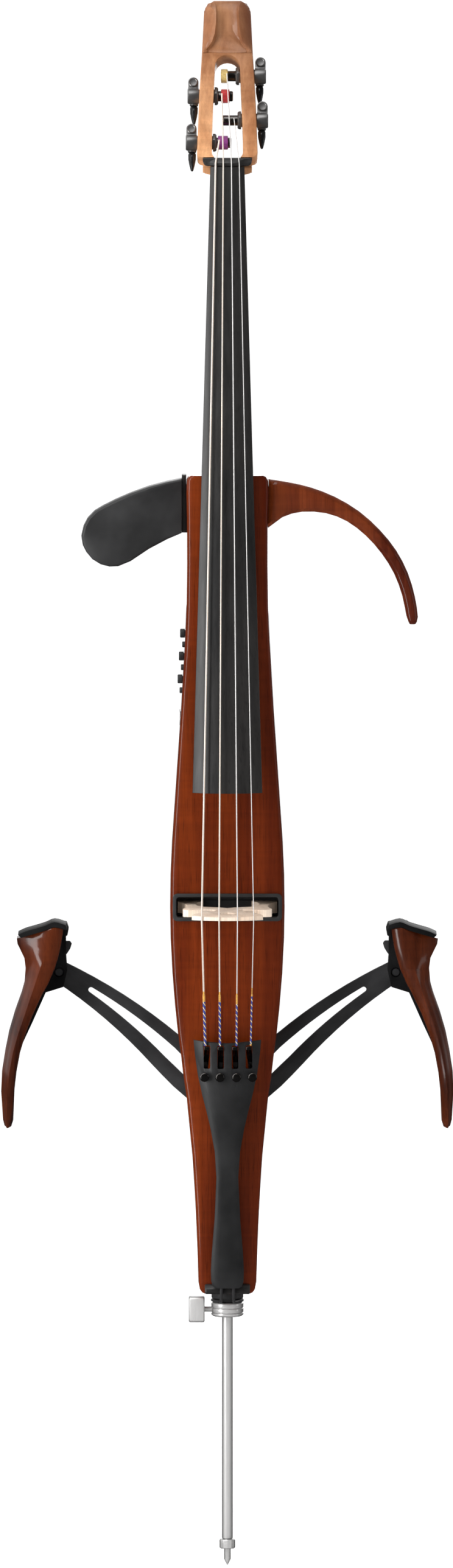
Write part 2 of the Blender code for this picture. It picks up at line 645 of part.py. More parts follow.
# Saddle on the body's lower edge, and the cord that ties the tailpiece over it to the endpin plug
bm = bmesh.new()
section = [(-25.4, 253.0), (-30.6, 252.6), (-31.8, 254.2), (-31.0, 257.4), (-28.4, 260.2), (-25.4, 261.6)]
rings = []
for x in (-20.6, -19.4, -10.0, 0.0, 10.0, 19.4, 20.6):
    ease = 0.86 if abs(x) > 20 else 1.0
    rings.append([(x, -25.4 + (y + 25.4) * ease, 257.0 + (z - 257.0) * ease) for y, z in section])
loft(bm, rings)
finish("saddle", bm, EBONY)

CORD_R = 1.5
hang_y = tail_crown(262.0) + 3.2
cord = [(-5.6, hang_y, 281.0), (-5.6, hang_y, 268.0), (-5.6, -33.9, 258.0), (-5.6, -33.7, 253.0),
    (-5.7, -31.0, 248.6),
        (-5.9, -25.0, 245.0), (-6.3, -18.4, 243.9)]
ring = [(13.9 * math.sin(a), -13.9 * math.cos(a), 244.1) for a in [math.radians(d) for d in range(-28, -333,
    -19)]]
cord = cord + ring[:-1] + [(-x, y, z) for x, y, z in cord[::-1]]
bm = bmesh.new()
tube(bm, cord, CORD_R, 6)
finish("tail_cord", bm, BLACK)

# ---------------------------------------------------------------- endpin

UPRIGHT = Matrix.Identity(4)
bm = bmesh.new()
turned(bm, [(5.35, 242.6), (12.0, 242.6), (12.0, 246.2), (14.6, 246.2), (14.6, 251.6), (12.3, 251.7),
    (12.3, 283.4),
            (8.0, 283.7), (8.0, 586.0), (5.35, 586.0)], UPRIGHT, 20, hollow=True)
finish("endpin_socket", bm, STEEL)

bm = bmesh.new()
turned(bm, [(5.3, 229.4), (13.2, 229.4), (14.7, 230.6), (14.7, 232.2), (14.1, 232.7), (14.7, 233.2),
    (14.7, 236.4),
            (14.1, 237.0), (14.7, 237.6), (14.7, 241.2), (13.6, 242.3), (5.3, 242.3)], UPRIGHT, 20,
            hollow=True)
collar = finish("endpin_collar", bm, STEEL)
SCREW_HEIGHT = 235.6
bm = bmesh.new()
turned(bm, [(0.01, -22.0), (2.75, -22.0), (2.75, 0.0), (0.01, 0.0)],
    axis_frame((0, 0, SCREW_HEIGHT), (1, 0, 0)), 14)
combine(collar, helper("cut_collar", bm))

bm = bmesh.new()
turned(bm, [(0.01, -21.5), (2.45, -21.5), (2.45, -6.4), (1.6, -5.4), (0.01, -5.4)],
       axis_frame((0, 0, SCREW_HEIGHT), (1, 0, 0)), 14)
screw = finish("endpin_screw", bm, STEEL, (-20.8, 0, SCREW_HEIGHT))
bm = bmesh.new()
wing = rounded([(-7.2, -11.9), (7.2, -11.9), (7.2, 11.9), (-7.2, 11.9)], 3.2, 4)
loft(bm, [[(x, y * f, SCREW_HEIGHT + z * g) for y, z in wing]
          for x, f, g in ((-35.3, 0.86, 0.91), (-34.3, 1.0, 1.0), (-21.8, 1.0, 1.0), (-20.8, 0.86, 0.91))])
combine(screw, helper("add_wing", bm), "UNION")

ROD_LOW, ROD_HIGH, ROD_R = 24.4, 385.0, 5.0
bm = bmesh.new()
turned(bm, [(0.01, ROD_HIGH), (4.2, ROD_HIGH), (ROD_R, ROD_HIGH - 0.8), (ROD_R, ROD_LOW + 0.6),
    (4.6, ROD_LOW),
            (3.5, ROD_LOW), (3.5, 46.0), (0.01, 46.0)], UPRIGHT, 16)
finish("endpin_rod", bm, STEEL)

# Pointed tip with its knurled locking ring
bm = bmesh.new()
turned(bm, [(0.01, 44.0), (3.1, 44.0), (3.1, 24.1), (6.4, 24.1), (7.35, 23.2), (7.35, 16.2), (6.4, 15.3),
    (3.1, 15.3),
            (3.1, 5.4), (0.5, 0.2), (0.01, 0.0)], UPRIGHT, 24)
for vert in bm.verts:
    spoke = math.hypot(vert.co.x, vert.co.y)
    if spoke > 7.0 and round(math.degrees(math.atan2(vert.co.y, vert.co.x)) / 15.0) % 2:
        vert.co.x *= 0.95
        vert.co.y *= 0.95
finish("endpin_tip", bm, STEEL)

# ---------------------------------------------------------------- machine heads

WINDINGS = {"c": (-8.6, 0.6), "g": (-5.8, 1.9), "d": (-5.8, 0.4)}  # span along the post
WINDING_R = 6.4
POST_LENGTH = 17.6  # inside the pegbox
WORM_OUT, WORM_N = 4.4, -7.4  # worm axis: outwards from the wall, and behind the post's axis


def tuner_frame(side, u, n=POST_N):
    """X outwards through the wall, Y up the pegbox, Z towards the player's side of it (front)."""
    centre = peg_point(0.0, u, n)
    up = (peg_point(0, 1, 0) - peg_point(0, 0, 0))
    ahead = (peg_point(0, 0, 1) - peg_point(0, 0, 0))
    turn = Matrix(((side, up.x, ahead.x), (0, up.y, ahead.y), (0, up.z, ahead.z))).to_4x4()
    return Matrix.Translation(centre) @ turn


def around_post(frame, profile, segments=20, hollow=False):
    """Turned about the post's axis. Heights in the profile run outwards."""
    bm = bmesh.new()
    turn = frame @ Matrix.Rotation(math.radians(90), 4, "Y")
    return turned(bm, profile, turn, segments, hollow)


for string, side, u in TUNERS:
    frame = tuner_frame(side, u)
    wall_in, wall_out = between(WALL_IN, u), between(WALL_OUT, u - 7.2) + GAP
    end = wall_in - POST_LENGTH

    # Housing: a round gear case with a plate above it and a barrel for the worm behind it
    case = around_post(frame, [(0.01, wall_out + 10.2), (6.4, wall_out + 10.2), (7.3, wall_out + 9.2),
                               (7.3, wall_out), (0.01, wall_out)], 18)
    housing = finish(f"tuner_housing_{string}", case, NICKEL)
    bm = bmesh.new()
    plate = rounded([(wall_out + 0.2, 0.9), (wall_out + 9.8, 0.9), (wall_out + 9.8, 17.2),
        (wall_out + 0.2, 17.2)],
                    [0.0, 0.0, 5.0, 5.0], 5)
    prism(bm, plate, lambda a, b, d: frame @ Vector((a, b, d)), -7.7, 3.4)
    combine(housing, helper(f"add_plate_{string}", bm), "UNION", "MANIFOLD")
    bm = bmesh.new()
    turned(bm, [(0.01, 0.0), (3.7, 0.0), (4.3, 5.0), (4.3, 7.0), (3.6, 7.6), (3.1, 7.2), (0.01, 7.2)],
           frame @ Matrix.Translation((wall_out + 5.1, 12.0, -2.8)), 14)
    combine(housing, helper(f"add_cap_{string}", bm), "UNION", "MANIFOLD")
    worm_axis = frame @ Matrix.Translation((wall_out + WORM_OUT, 0,
        WORM_N)) @ Matrix.Rotation(math.radians(-90), 4, "X")
    bm = bmesh.new()
    turned(bm, [(0.01, -7.2), (3.4, -7.2), (3.9, -6.6), (3.9, 8.4), (3.4, 9.0), (0.01, 9.0)], worm_axis, 14)
    combine(housing, helper(f"add_barrel_{string}", bm), "UNION", "MANIFOLD")

    # Threaded sleeve through the wall, with the hexagonal flange inside the pegbox
    sleeve = around_post(frame, [(0.01, wall_in - 2.0), (6.3, wall_in - 2.0), (6.3, wall_out + 1.4),
        (0.01, wall_out + 1.4)], 16)
    combine(housing, helper(f"add_sleeve_{string}", sleeve), "UNION", "MANIFOLD")
    flange = around_post(frame, [(0.01, wall_in - 4.2), (7.2, wall_in - 4.2), (8.4, wall_in - 3.0),
                                 (8.4, wall_in - 3 * GAP), (0.01, wall_in - 3 * GAP)], 6)
    combine(housing, helper(f"add_flange_{string}", flange), "UNION", "MANIFOLD")
    pocket = around_post(frame, [(0.01, wall_out + 7.6), (5.4, wall_out + 7.6), (5.4, wall_out + 1.2),
                                 (5.1, wall_out + 1.0), (5.1, wall_in - 8.0), (0.01, wall_in - 8.0)], 16)
    combine(housing, helper(f"cut_gear_{string}", pocket), "DIFFERENCE", "MANIFOLD")
    bm = bmesh.new()
    turned(bm, [(0.01, -12.0), (2.5, -12.0), (2.5, 6.3), (0.01, 6.3)],
        worm_axis @ Matrix.Rotation(0.1, 4, "Z"), 12)
    combine(housing, helper(f"cut_worm_{string}", bm), "DIFFERENCE", "MANIFOLD")

    # Post: a round bar with a toothed end inside the case
    shaft = around_post(frame, [(0.01, end), (4.2, end), (POST_R, end + 0.7), (POST_R, wall_out + 1.6),
                                (POST_R, wall_out + 1.8), (POST_R, wall_out + 6.6), (2.2, wall_out + 6.6),
                                (2.2, wall_out + 7.2), (0.01, wall_out + 7.2)], 20)
    inverse = frame.inverted()
    for vert in shaft.verts:
        local = inverse @ vert.co
        spoke = math.hypot(local.y, local.z)
        if wall_out + 1.7 < local.x < wall_out + 6.7 and spoke > 4.0:
            tooth = round(math.degrees(math.atan2(local.z, local.y)) / (360 / 20)) % 2
            if tooth:
                local.y *= 0.84
                local.z *= 0.84
                vert.co = frame @ local
    post = finish(f"tuner_post_{string}", shaft, NICKEL, frame.translation)
    if string in WINDINGS:
        # the string's silk end, wound on the post and turning with it
        low, high = sorted(x * side for x in WINDINGS[string])
        ring = around_post(frame, [(POST_R - 1.0, low), (WINDING_R - 0.5, low), (WINDING_R, low + 0.6),
                                   (WINDING_R, high - 0.6), (WINDING_R - 0.5, high), (POST_R - 1.0, high)],
                                   16, True)
        combine(post, helper(f"add_winding_{string}", ring), "UNION")

    # Key: worm and flattened handle in one piece
    bm = bmesh.new()
    rings = []
    for height, wide, deep in ((6.0, 1.3, 1.3), (5.4, 1.9, 1.9), (-7.8, 1.9, 1.9), (-8.0, 3.3, 2.6),
                               (-9.4, 3.7, 3.0), (-14.0, 3.5, 2.9), (-20.0, 2.4, 2.4), (-24.2, 1.3, 1.7),
                               (-25.0, 0.7, 1.0)):
        turns = [2 * math.pi * k / 10 for k in range(10)]
        rings.append([worm_axis @ Vector((wide * math.cos(t), deep * math.sin(t), height)) for t in turns])
    loft(bm, rings)
    finish(f"tuner_key_{string}", bm, NICKEL, worm_axis.translation)

# ---------------------------------------------------------------- strings

START_X = {"c": -7.4, "g": -5.0, "d": -0.4, "a": 6.0}
for number, (string, side, u) in enumerate(sorted(TUNERS, key=lambda t: "cgda".index(t[0]))):
    radius = STRING_R[number]
    wrap = WINDING_R if string in WINDINGS else POST_R
    start = peg_point(START_X[string], u, POST_N + wrap + GAP + radius + 0.5)
    nut_x, bridge_x, tail_x = STRING_NUT_X[number], STRING_BRIDGE_X[number], STRING_TAIL_X[number]
    over_nut = (nut_x, BOARD_TOP_Y - 1.65 - radius + sag(nut_x), BOARD_TOP + 3.0)
    over_bridge = (bridge_x, BRIDGE_Y + sag(bridge_x) + 1.2 - GAP - radius, BRIDGE_TAIL_FACE + 1.7)
    end_z = LEVER_PIVOT_Z + 3.2
    slot_x = min(max(tail_x, SLOT_X[number] - 1.6), SLOT_X[number] + 1.6)
    end = (slot_x, tail_crown(end_z) + sag(slot_x, 60.0) - 0.7 - radius, end_z)
    silk_z = 531.0
    part = (BRIDGE_Z - silk_z) / (BRIDGE_Z - end_z)
    silk = Vector(over_bridge).lerp(Vector(end), part)
    silk_low = Vector(over_bridge).lerp(Vector(end), part + 0.01)
    bm = bmesh.new()
    tube(bm, [start, over_nut, over_bridge, silk, silk_low, end],
         [radius, radius, radius, radius, radius + 0.35, radius + 0.35], 8)
    finish(f"string_{string}", bm, STEEL)

# ---------------------------------------------------------------- arms

LAYER = {-1: 29.6, 1: 33.9}  # front face of each arm plate: the two pass one behind the other
ARM_CLAMP = (24.0, 438.4)
ARM_START, ARM_TURN, ARM_LENGTH = 131.0, 20.0, 168.0  # degrees at the clamp, gained along the arm, mm
# Half widths at distances along the arm: above and below its centre line, and of the slot
ARM_UPPER = ((-14.0, 14.0), (10.0, 17.6), (38.0, 17.8), (81.0, 15.1), (131.0, 11.9), (168.0, 9.6))
ARM_LOWER = ((-14.0, 15.0), (10.0, 19.6), (38.0, 20.0), (81.0, 16.7), (131.0, 12.8), (168.0, 10.0))
SLOT_HALF = ((-5.0, 4.0), (20.0, 5.6), (40.0, 6.1), (81.0, 4.5), (134.0, 2.4))
SLOT_START, SLOT_END = -5.0, 134.0


def arm_centre(along, aside=0.0):
    """A point of the left arm's curved centre line, and sideways from it, in the XZ plane."""
    heading = math.radians(ARM_START + ARM_TURN * min(max(along, 0.0), ARM_LENGTH) / ARM_LENGTH)
    x, z = -ARM_CLAMP[0], ARM_CLAMP[1]
    steps = 24
    for i in range(steps):
        a = math.radians(ARM_START + ARM_TURN * max(along * (i + 0.5) / steps, 0.0) / ARM_LENGTH)
        x += math.cos(a) * along / steps
        z += math.sin(a) * along / steps
    return x + math.cos(heading + math.pi / 2) * aside, z + math.sin(heading + math.pi / 2) * aside


KNEE_X, KNEE_Z = arm_centre(ARM_LENGTH)
KNEE_X = -KNEE_X


def arm_band(start, end, upper, lower, bend=4):
    """Outline of a strip of the arm with round ends. upper and lower are tables of half widths."""
    steps = 12
    stations = [start + (end - start) * i / steps for i in range(steps + 1)]

    def cap(at, outward):
        """The round end, from one edge to the other."""
        above, below = between(upper, at), between(lower, at)
        radius, middle = (above + below) / 2, (below - above) / 2
        turns = [math.pi * k / (2 * bend) for k in range(1, 2 * bend)]
        return [arm_centre(at + outward * radius * math.sin(t), middle - outward * radius * math.cos(t))
                for t in turns]

    return ([arm_centre(along, -between(upper, along)) for along in stations] + cap(end, 1)
            + [arm_centre(along, between(lower, along)) for along in stations[::-1]] + cap(start, -1))


# Bracket across the back, with the two threaded clamp studs and their heads
bm = bmesh.new()
plate = rounded([(-35.0, 418.0), (35.0, 418.0), (35.0, 474.0), (-35.0, 474.0)], 6.0, 3)
prism(bm, plate, lambda a, b, d: (a, d, b), BRACKET_Y + GAP, BRACKET_Y + 3.3)
bracket = finish("arm_bracket", bm, IRON)
for side, label in ((-1, "left"), (1, "right")):
    top = LAYER[side] + ARM_T
    frame = axis_frame((side * ARM_CLAMP[0], 0, ARM_CLAMP[1]), (0, 1, 0))
    bm = bmesh.new()
    turned(bm, [(0.01, BRACKET_Y + 1.0), (7.5 if side > 0 else 2.9, BRACKET_Y + 1.0),
                (7.5 if side > 0 else 2.9, LAYER[side] - GAP), (2.8, LAYER[side] - GAP + 0.01),
                (2.8, top + GAP),
                (8.0, top + GAP + 0.01), (8.0, top + 3.6), (6.8, top + 4.6), (0.01, top + 4.6)], frame, 20)
    combine(bracket, helper(f"add_clamp_{label}", bm), "UNION")

for side, label in ((-1, "left"), (1, "right")):
    low, high = LAYER[side], LAYER[side] + ARM_T
    place = lambda a, b, d: (-side * a, d, b)
    bm = bmesh.new()
    prism(bm, arm_band(-14.0, ARM_LENGTH, ARM_UPPER, ARM_LOWER), place, low, high)
    arm = finish(f"knee_arm_{label}", bm, IRON, (side * ARM_CLAMP[0], low, ARM_CLAMP[1]))
    # ear above the pivot that the clip rests on
    ear = rounded([(-161.0, 545.0), (-147.6, 549.6), (-150.6, 555.2), (-146.4, 559.6), (-143.6, 564.1),
        (-142.2, 568.6),
                   (-144.0, 571.0), (-152.5, 571.0), (-158.0, 560.0)],
                   [0, 0, 1.5, 0, 0, 1.2, 1.2, 2.0, 3.0], 2)
    bm = bmesh.new()
    prism(bm, ear, place, low + 0.01, high - 0.01)
    combine(arm, helper(f"add_ear_{label}", bm), "UNION")
    bm = bmesh.new()
    prism(bm, arm_band(SLOT_START, SLOT_END, SLOT_HALF, SLOT_HALF), place, low - 5.0, high + 5.0)
    combine(arm, helper(f"cut_slot_{label}", bm))
    # pivot stud for the knee rest
    bm = bmesh.new()
    turned(bm, [(0.01, high + 2.4), (7.0, high + 2.4), (8.0, high + 1.4), (8.0, high - 1.0),
        (4.0, high - 1.0),
                (4.0, 17.0), (3.2, 16.2), (0.01, 16.2)],
           axis_frame((side * KNEE_X, 0, KNEE_Z), (0, 1, 0)), 20)
    combine(arm, helper(f"add_stud_{label}", bm), "UNION")

# ---------------------------------------------------------------- knee rests

REST_OUTER = ((402.7, 200.8), (404.0, 203.6), (410.0, 205.0), (437.0, 206.6), (455.0, 205.8), (473.0, 203.0),
              (491.0, 199.4), (509.0, 194.2), (527.0, 187.8), (536.0, 185.3), (550.0, 184.2), (559.0, 185.3),
              (568.0, 189.6), (572.0, 191.6), (577.0, 192.2), (586.0, 189.5))
REST_INNER = ((402.7, 199.9), (404.0, 197.4), (410.0, 195.6), (437.0, 194.5), (455.0, 192.5), (473.0, 189.2),
              (491.0, 183.9), (509.0, 177.0), (527.0, 168.6), (536.0, 163.6), (545.0, 159.2), (555.0, 155.8),
              (570.0, 152.0), (586.0, 149.6), (600.0, 148.0))
REST_RIDGE = ((402.7, 201.4), (420.0, 202.0), (450.0, 200.0), (480.0, 194.6), (515.0, 182.6), (550.0, 171.0),
              (582.0, 161.6), (600.0, 158.0))
REST_TOP = ((-146.0, 585.0), (-157.5, 588.0), (-166.0, 585.0), (-175.0, 582.2), (-184.0, 579.6),
            (-196.0, 575.6))


def rest_section(z):
    outer, inner, ridge = between(REST_OUTER, z), between(REST_INNER, z), between(REST_RIDGE, z)
    wide = outer - inner
    ease = min(1.0, max(0.35, (z - 402.0) / 14.0))
    front, back = -1.0 - 22.0 * ease, 1.0 + 13.0 * ease
    soft = min(2.2, wide * 0.2)
    hollow = min(5.0, wide * 0.11)
    return [(-inner, back - soft, z), (-inner, 0.0, z), (-inner, front + 4.0 + soft, z),
        (-inner - soft * 0.8, front + 3.0, z),
            (-ridge, front, z), (-(ridge + outer) / 2, front + 3.6 + hollow, z),
            (-outer + soft, front + 8.0 + hollow, z), (-outer, front + 10.0 + hollow, z),
            (-outer, back - soft, z),
            (-outer + soft, back, z), (-inner - soft, back, z)]


def mirrored(side, points):
    return [(-side * x, y, z) for x, y, z in points]


for side, label in ((-1, "left"), (1, "right")):
    pivot = (side * KNEE_X, 0.0, KNEE_Z)
    bm = bmesh.new()
    heights = [z for z, _ in REST_OUTER[:-1]] + [586.0, 596.0]
    loft(bm, [mirrored(side, rest_section(z)) for z in heights])
    rest = finish(f"knee_rest_{label}", bm, SUNBURST, pivot)
    line = [tuple(p) for p in smooth_curve([(x, z) for x, z in REST_TOP], 3)]
    bm = bmesh.new()
    prism(bm, [(-100.0, 584.0)] + line + [(-215.0, 573.0), (-215.0, 640.0), (-100.0, 640.0)],
          lambda a, b, d: (-side * a, d, b), -60.0, 60.0)
    combine(rest, helper(f"cut_rest_top_{label}", bm))

    # Black carrier behind the wood: a plate on the pivot, a cap over the wood's sloping top, and its clip
    ring_back = LAYER[side] - GAP
    bm = bmesh.new()
    plate = [(-150.0, 530.0), (-146.4, 545.7), (-147.4, 560.0), (-147.6, 588.0), (-164.0, 590.0),
        (-184.0, 574.0),
             (-183.0, 545.0), (-190.0, 512.0), (-198.0, 478.0), (-191.0, 470.0), (-178.0, 498.0),
             (-166.0, 525.0)]
    plate = rounded(plate, [0, 0, 0, 3.0, 2.0, 4.0, 0, 0, 4.0, 3.0, 0, 0], 2)
    prism(bm, plate, lambda a, b, d: (-side * a, d, b), 15.0, ring_back)
    carrier = finish(f"knee_carrier_{label}", bm, RUBBER, pivot)
    top = [(x, z + 0.4) for x, z in line]
    upper = smooth_curve([(-147.4, 590.4), (-157.5, 593.2), (-166.0, 590.0), (-175.0, 587.2), (-184.0, 584.6),
                          (-191.0, 581.4)], 3)
    cap = top[:-1] + [tuple(p) for p in upper[::-1]]
    cap = [p for p in cap if -192.5 < p[0]]
    bm = bmesh.new()
    prism(bm, cap, lambda a, b, d: (-side * a, d, b), -22.5, 17.0)
    combine(carrier, helper(f"add_cap_{label}", bm), "UNION", "MANIFOLD")
    bm = bmesh.new()
    clip = rounded([(-149.0, 591.0), (-146.6, 589.6), (-144.9, 584.5), (-146.0, 578.6), (-150.0, 576.8)],
                   1.0, 2)
    prism(bm, clip, lambda a, b, d: (-side * a, d, b), 2.0, 24.0)
    combine(carrier, helper(f"add_clip_{label}", bm), "UNION", "MANIFOLD")
    bm = bmesh.new()
    turned(bm, [(0.01, 0.0), (4.4, 0.0), (4.4, 60.0), (0.01, 60.0)],
           axis_frame((side * KNEE_X, 0, KNEE_Z), (0, 1, 0)), 20)
    combine(carrier, helper(f"cut_pivot_{label}", bm), "DIFFERENCE", "MANIFOLD")

# ---------------------------------------------------------------- shoulder arc

ARC_OUTER = ((38.0, 997.4), (56.4, 994.4), (76.0, 989.8), (98.0, 981.2), (120.0, 968.0), (139.0, 950.8),
             (154.0, 932.0), (164.6, 911.4), (171.0, 889.8), (173.7, 871.0), (171.4, 864.2))
ARC_INNER = ((38.0, 952.4), (50.0, 962.4), (68.0, 967.4), (90.0, 966.0), (109.0, 958.6), (126.0, 945.6),
             (140.5, 929.2), (152.0, 910.6), (159.4, 890.4), (163.2, 872.0), (166.2, 864.2))
bm = bmesh.new()
outer = smooth_curve([(x, z) for x, z in ARC_OUTER], 2)
inner = smooth_curve([(x, z) for x, z in ARC_INNER], 2)
rings = []
for i, (o, n) in enumerate(zip(outer, inner)):
    across = o - n
    wide = across.length
    across = across / wide
    soft = min(4.0, wide * 0.3)
    front, back = -13.0 + 5.0 * i / len(outer), 17.0 - 3.0 * i / len(outer)
    if i == len(outer) - 1:
        front, back = front + 4.0, back - 4.0
    ring = []
    for far, y in ((0.0, front + soft), (soft * 0.4, front + soft * 0.4), (soft, front), (wide - soft, front),
                   (wide - soft * 0.4, front + soft * 0.4), (wide, front + soft), (wide, back - soft),
                   (wide - soft, back), (soft, back), (0.0, back - soft)):
        p = n + across * far
        ring.append((p.x, y, p.y))
    rings.append(ring)
loft(bm, rings)
finish("shoulder_arc", bm, SUNBURST)

# ---------------------------------------------------------------- chest rest and its hinge

CHEST_PIVOT = (-46.5, 23.0)
bm = bmesh.new()
box(bm, (-41.2, -3.0, 948.0), (-38.0, 14.0, 1000.6))
hinge = finish("chest_hinge", bm, BLACK)
for low, high, label in ((950.0, 959.0, "low"), (981.0, 990.0, "high")):
    bm = bmesh.new()
    web = [(-41.0, 6.0), (-38.6, 6.0), (-38.6, 13.5), (-42.6, 26.0), (-45.0, 27.2), (-48.0, 26.8),
        (-50.3, 24.0),
           (-49.6, 20.6), (-47.0, 18.0), (-41.1, 17.4)]
    prism(bm, web, lambda a, b, d: (a, b, d), low, high)
    combine(hinge, helper(f"add_web_{label}", bm), "UNION")
bm = bmesh.new()
turned(bm, [(0.01, 949.0), (1.6, 949.0), (1.6, 991.0), (0.01, 991.0)],
       axis_frame((CHEST_PIVOT[0], CHEST_PIVOT[1], 0), (0, 0, 1)), 12)
combine(hinge, helper("add_hinge_pin", bm), "UNION")

CHEST = ((-41.6, 997.3), (-54.7, 994.6), (-71.4, 990.1), (-88.1, 984.0), (-102.0, 977.9), (-113.1, 972.3),
         (-121.0, 967.6), (-127.4, 961.0), (-131.2, 953.6), (-133.1, 945.0), (-131.8, 936.8), (-128.6, 930.5),
         (-123.1, 923.9), (-115.5, 919.2), (-107.5, 917.1), (-99.5, 917.4), (-88.1, 922.1), (-71.4, 933.3),
         (-54.7, 942.2), (-41.6, 947.8))


def grown(points, amount):
    """Moves each point of an outline towards its middle, except along the inner edge."""
    cx, cz = -84.0, 958.0
    made = []
    for x, z in points:
        away = Vector((x - cx, z - cz))
        away = away * (1 - amount / away.length)
        made.append((x if x > -42.0 else cx + away.x, cz + away.y))
    return made


bm = bmesh.new()
loft(bm, [[(x, y, z) for x, z in grown(CHEST, inset)] for y, inset in
          ((-8.0, 2.4), (-7.2, 0.8), (-5.4, 0.0), (13.0, 0.0), (15.6, 0.9), (16.6, 2.6))])
chest = finish("chest_rest", bm, BLACK, (CHEST_PIVOT[0], CHEST_PIVOT[1], 970.0))
bm = bmesh.new()
web = [(-60.0, 14.0), (-43.2, 14.0), (-43.2, 19.0), (-42.4, 22.0), (-43.6, 25.6), (-46.5, 27.0),
    (-49.4, 25.8),
       (-52.0, 22.0), (-60.0, 18.0)]
prism(bm, web, lambda a, b, d: (a, b, d), 959.6, 980.4)
combine(chest, helper("add_knuckle", bm), "UNION")
bm = bmesh.new()
turned(bm, [(0.01, 940.0), (1.95, 940.0), (1.95, 995.0), (0.01, 995.0)],
       axis_frame((CHEST_PIVOT[0], CHEST_PIVOT[1], 0), (0, 0, 1)), 12)
combine(chest, helper("cut_hinge_pin", bm))


# ---------------------------------------------------------------- controls and electronics

for number, z in enumerate(KNOB_Z):
    face = side_x(z)
    name = ("knob_volume", "knob_tone", "knob_blend")[number]
    bm = bmesh.new()
    turned(bm, [(0.01, face - 5.0), (3.6, face - 5.0), (4.15, face - 4.4), (4.15, face - 0.5),
        (2.8, face - 0.49),
                (2.8, -28.9), (0.01, -28.9)], axis_frame((0, CONTROL_Y, z), (1, 0, 0)), 20)
    finish(name, bm, BLACK, (face, CONTROL_Y, z))
for number, z in enumerate(BUTTON_Z):
    face = side_x(z)
    name = ("button_power", "button_effect", "button_phase")[number]
    bm = bmesh.new()
    turned(bm, [(0.01, face - 2.6), (2.2, face - 2.6), (2.75, face - 2.1), (2.75, -31.0), (2.0, -30.9),
        (2.0, -28.0),
                (0.01, -28.0)], axis_frame((0, CONTROL_Y, z), (1, 0, 0)), 16)
    finish(name, bm, BLACK, (face, CONTROL_Y, z))

bm = bmesh.new()
box(bm, (-25.4, 1.0, 757.0), (-23.8, 22.0, 866.0))
circuit = finish("circuit_board", bm, GREEN)
for number, z in enumerate(KNOB_Z + BUTTON_Z):
    deep = -28.5 if z in KNOB_Z else -26.6
    wide = 4.6 if z in KNOB_Z else 3.4
    bm = bmesh.new()
    box(bm, (deep, CONTROL_Y - wide, z - wide), (-25.0, CONTROL_Y + wide, z + wide))
    combine(circuit, helper(f"add_switch_{number}", bm), "UNION", "MANIFOLD")

bm = bmesh.new()
box(bm, (-14.0, 2.0, 790.0), (20.0, 24.0, 852.0))
finish("battery_holder", bm, BLACK)

bm = bmesh.new()
cover = rounded([(-32.6, 745.4), (32.6, 745.4), (32.6, 884.6), (-32.6, 884.6)], 0.0)
prism(bm, cover, lambda a, b, d: (a, d, b), 26.0 + GAP, 29.6)
finish("back_cover", bm, BLACK)

name, z, outer, inner = JACKS[0]
face = side_x(z)
bm = bmesh.new()
turned(bm, [(inner, face - 1.0), (outer + 1.8, face - 1.0), (outer + 1.8, face - GAP),
    (outer, face - GAP + 0.01),
            (outer, face + 13.0), (inner, face + 13.0)], axis_frame((0, 12.0, z), (1, 0, 0)), 24, hollow=True)
finish(name, bm, STEEL, (face, 12.0, z))
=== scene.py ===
"""A slim electric cello standing on its endpin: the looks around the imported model."""

import bmesh
import bpy
import json
import math
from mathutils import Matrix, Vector

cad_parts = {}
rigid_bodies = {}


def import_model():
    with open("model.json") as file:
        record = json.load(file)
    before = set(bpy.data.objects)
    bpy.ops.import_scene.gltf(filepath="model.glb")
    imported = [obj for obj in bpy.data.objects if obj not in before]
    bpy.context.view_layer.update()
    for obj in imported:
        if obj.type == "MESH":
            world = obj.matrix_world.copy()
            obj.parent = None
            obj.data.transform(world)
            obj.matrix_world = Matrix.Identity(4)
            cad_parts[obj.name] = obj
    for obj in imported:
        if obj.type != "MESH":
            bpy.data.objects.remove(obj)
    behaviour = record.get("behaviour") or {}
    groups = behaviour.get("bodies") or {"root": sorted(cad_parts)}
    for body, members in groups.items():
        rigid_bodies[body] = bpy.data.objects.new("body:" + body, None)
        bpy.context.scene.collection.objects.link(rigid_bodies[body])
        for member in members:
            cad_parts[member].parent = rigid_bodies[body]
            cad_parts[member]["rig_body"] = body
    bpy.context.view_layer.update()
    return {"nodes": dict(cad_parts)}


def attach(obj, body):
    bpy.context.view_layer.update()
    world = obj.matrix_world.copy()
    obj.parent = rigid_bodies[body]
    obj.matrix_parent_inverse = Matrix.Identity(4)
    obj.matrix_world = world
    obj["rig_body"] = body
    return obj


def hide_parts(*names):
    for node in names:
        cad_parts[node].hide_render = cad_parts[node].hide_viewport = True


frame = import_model()
MM = 0.001  # tables of places on the object are in mm, everything else in metres

# ---------------------------------------------------------------- material nodes


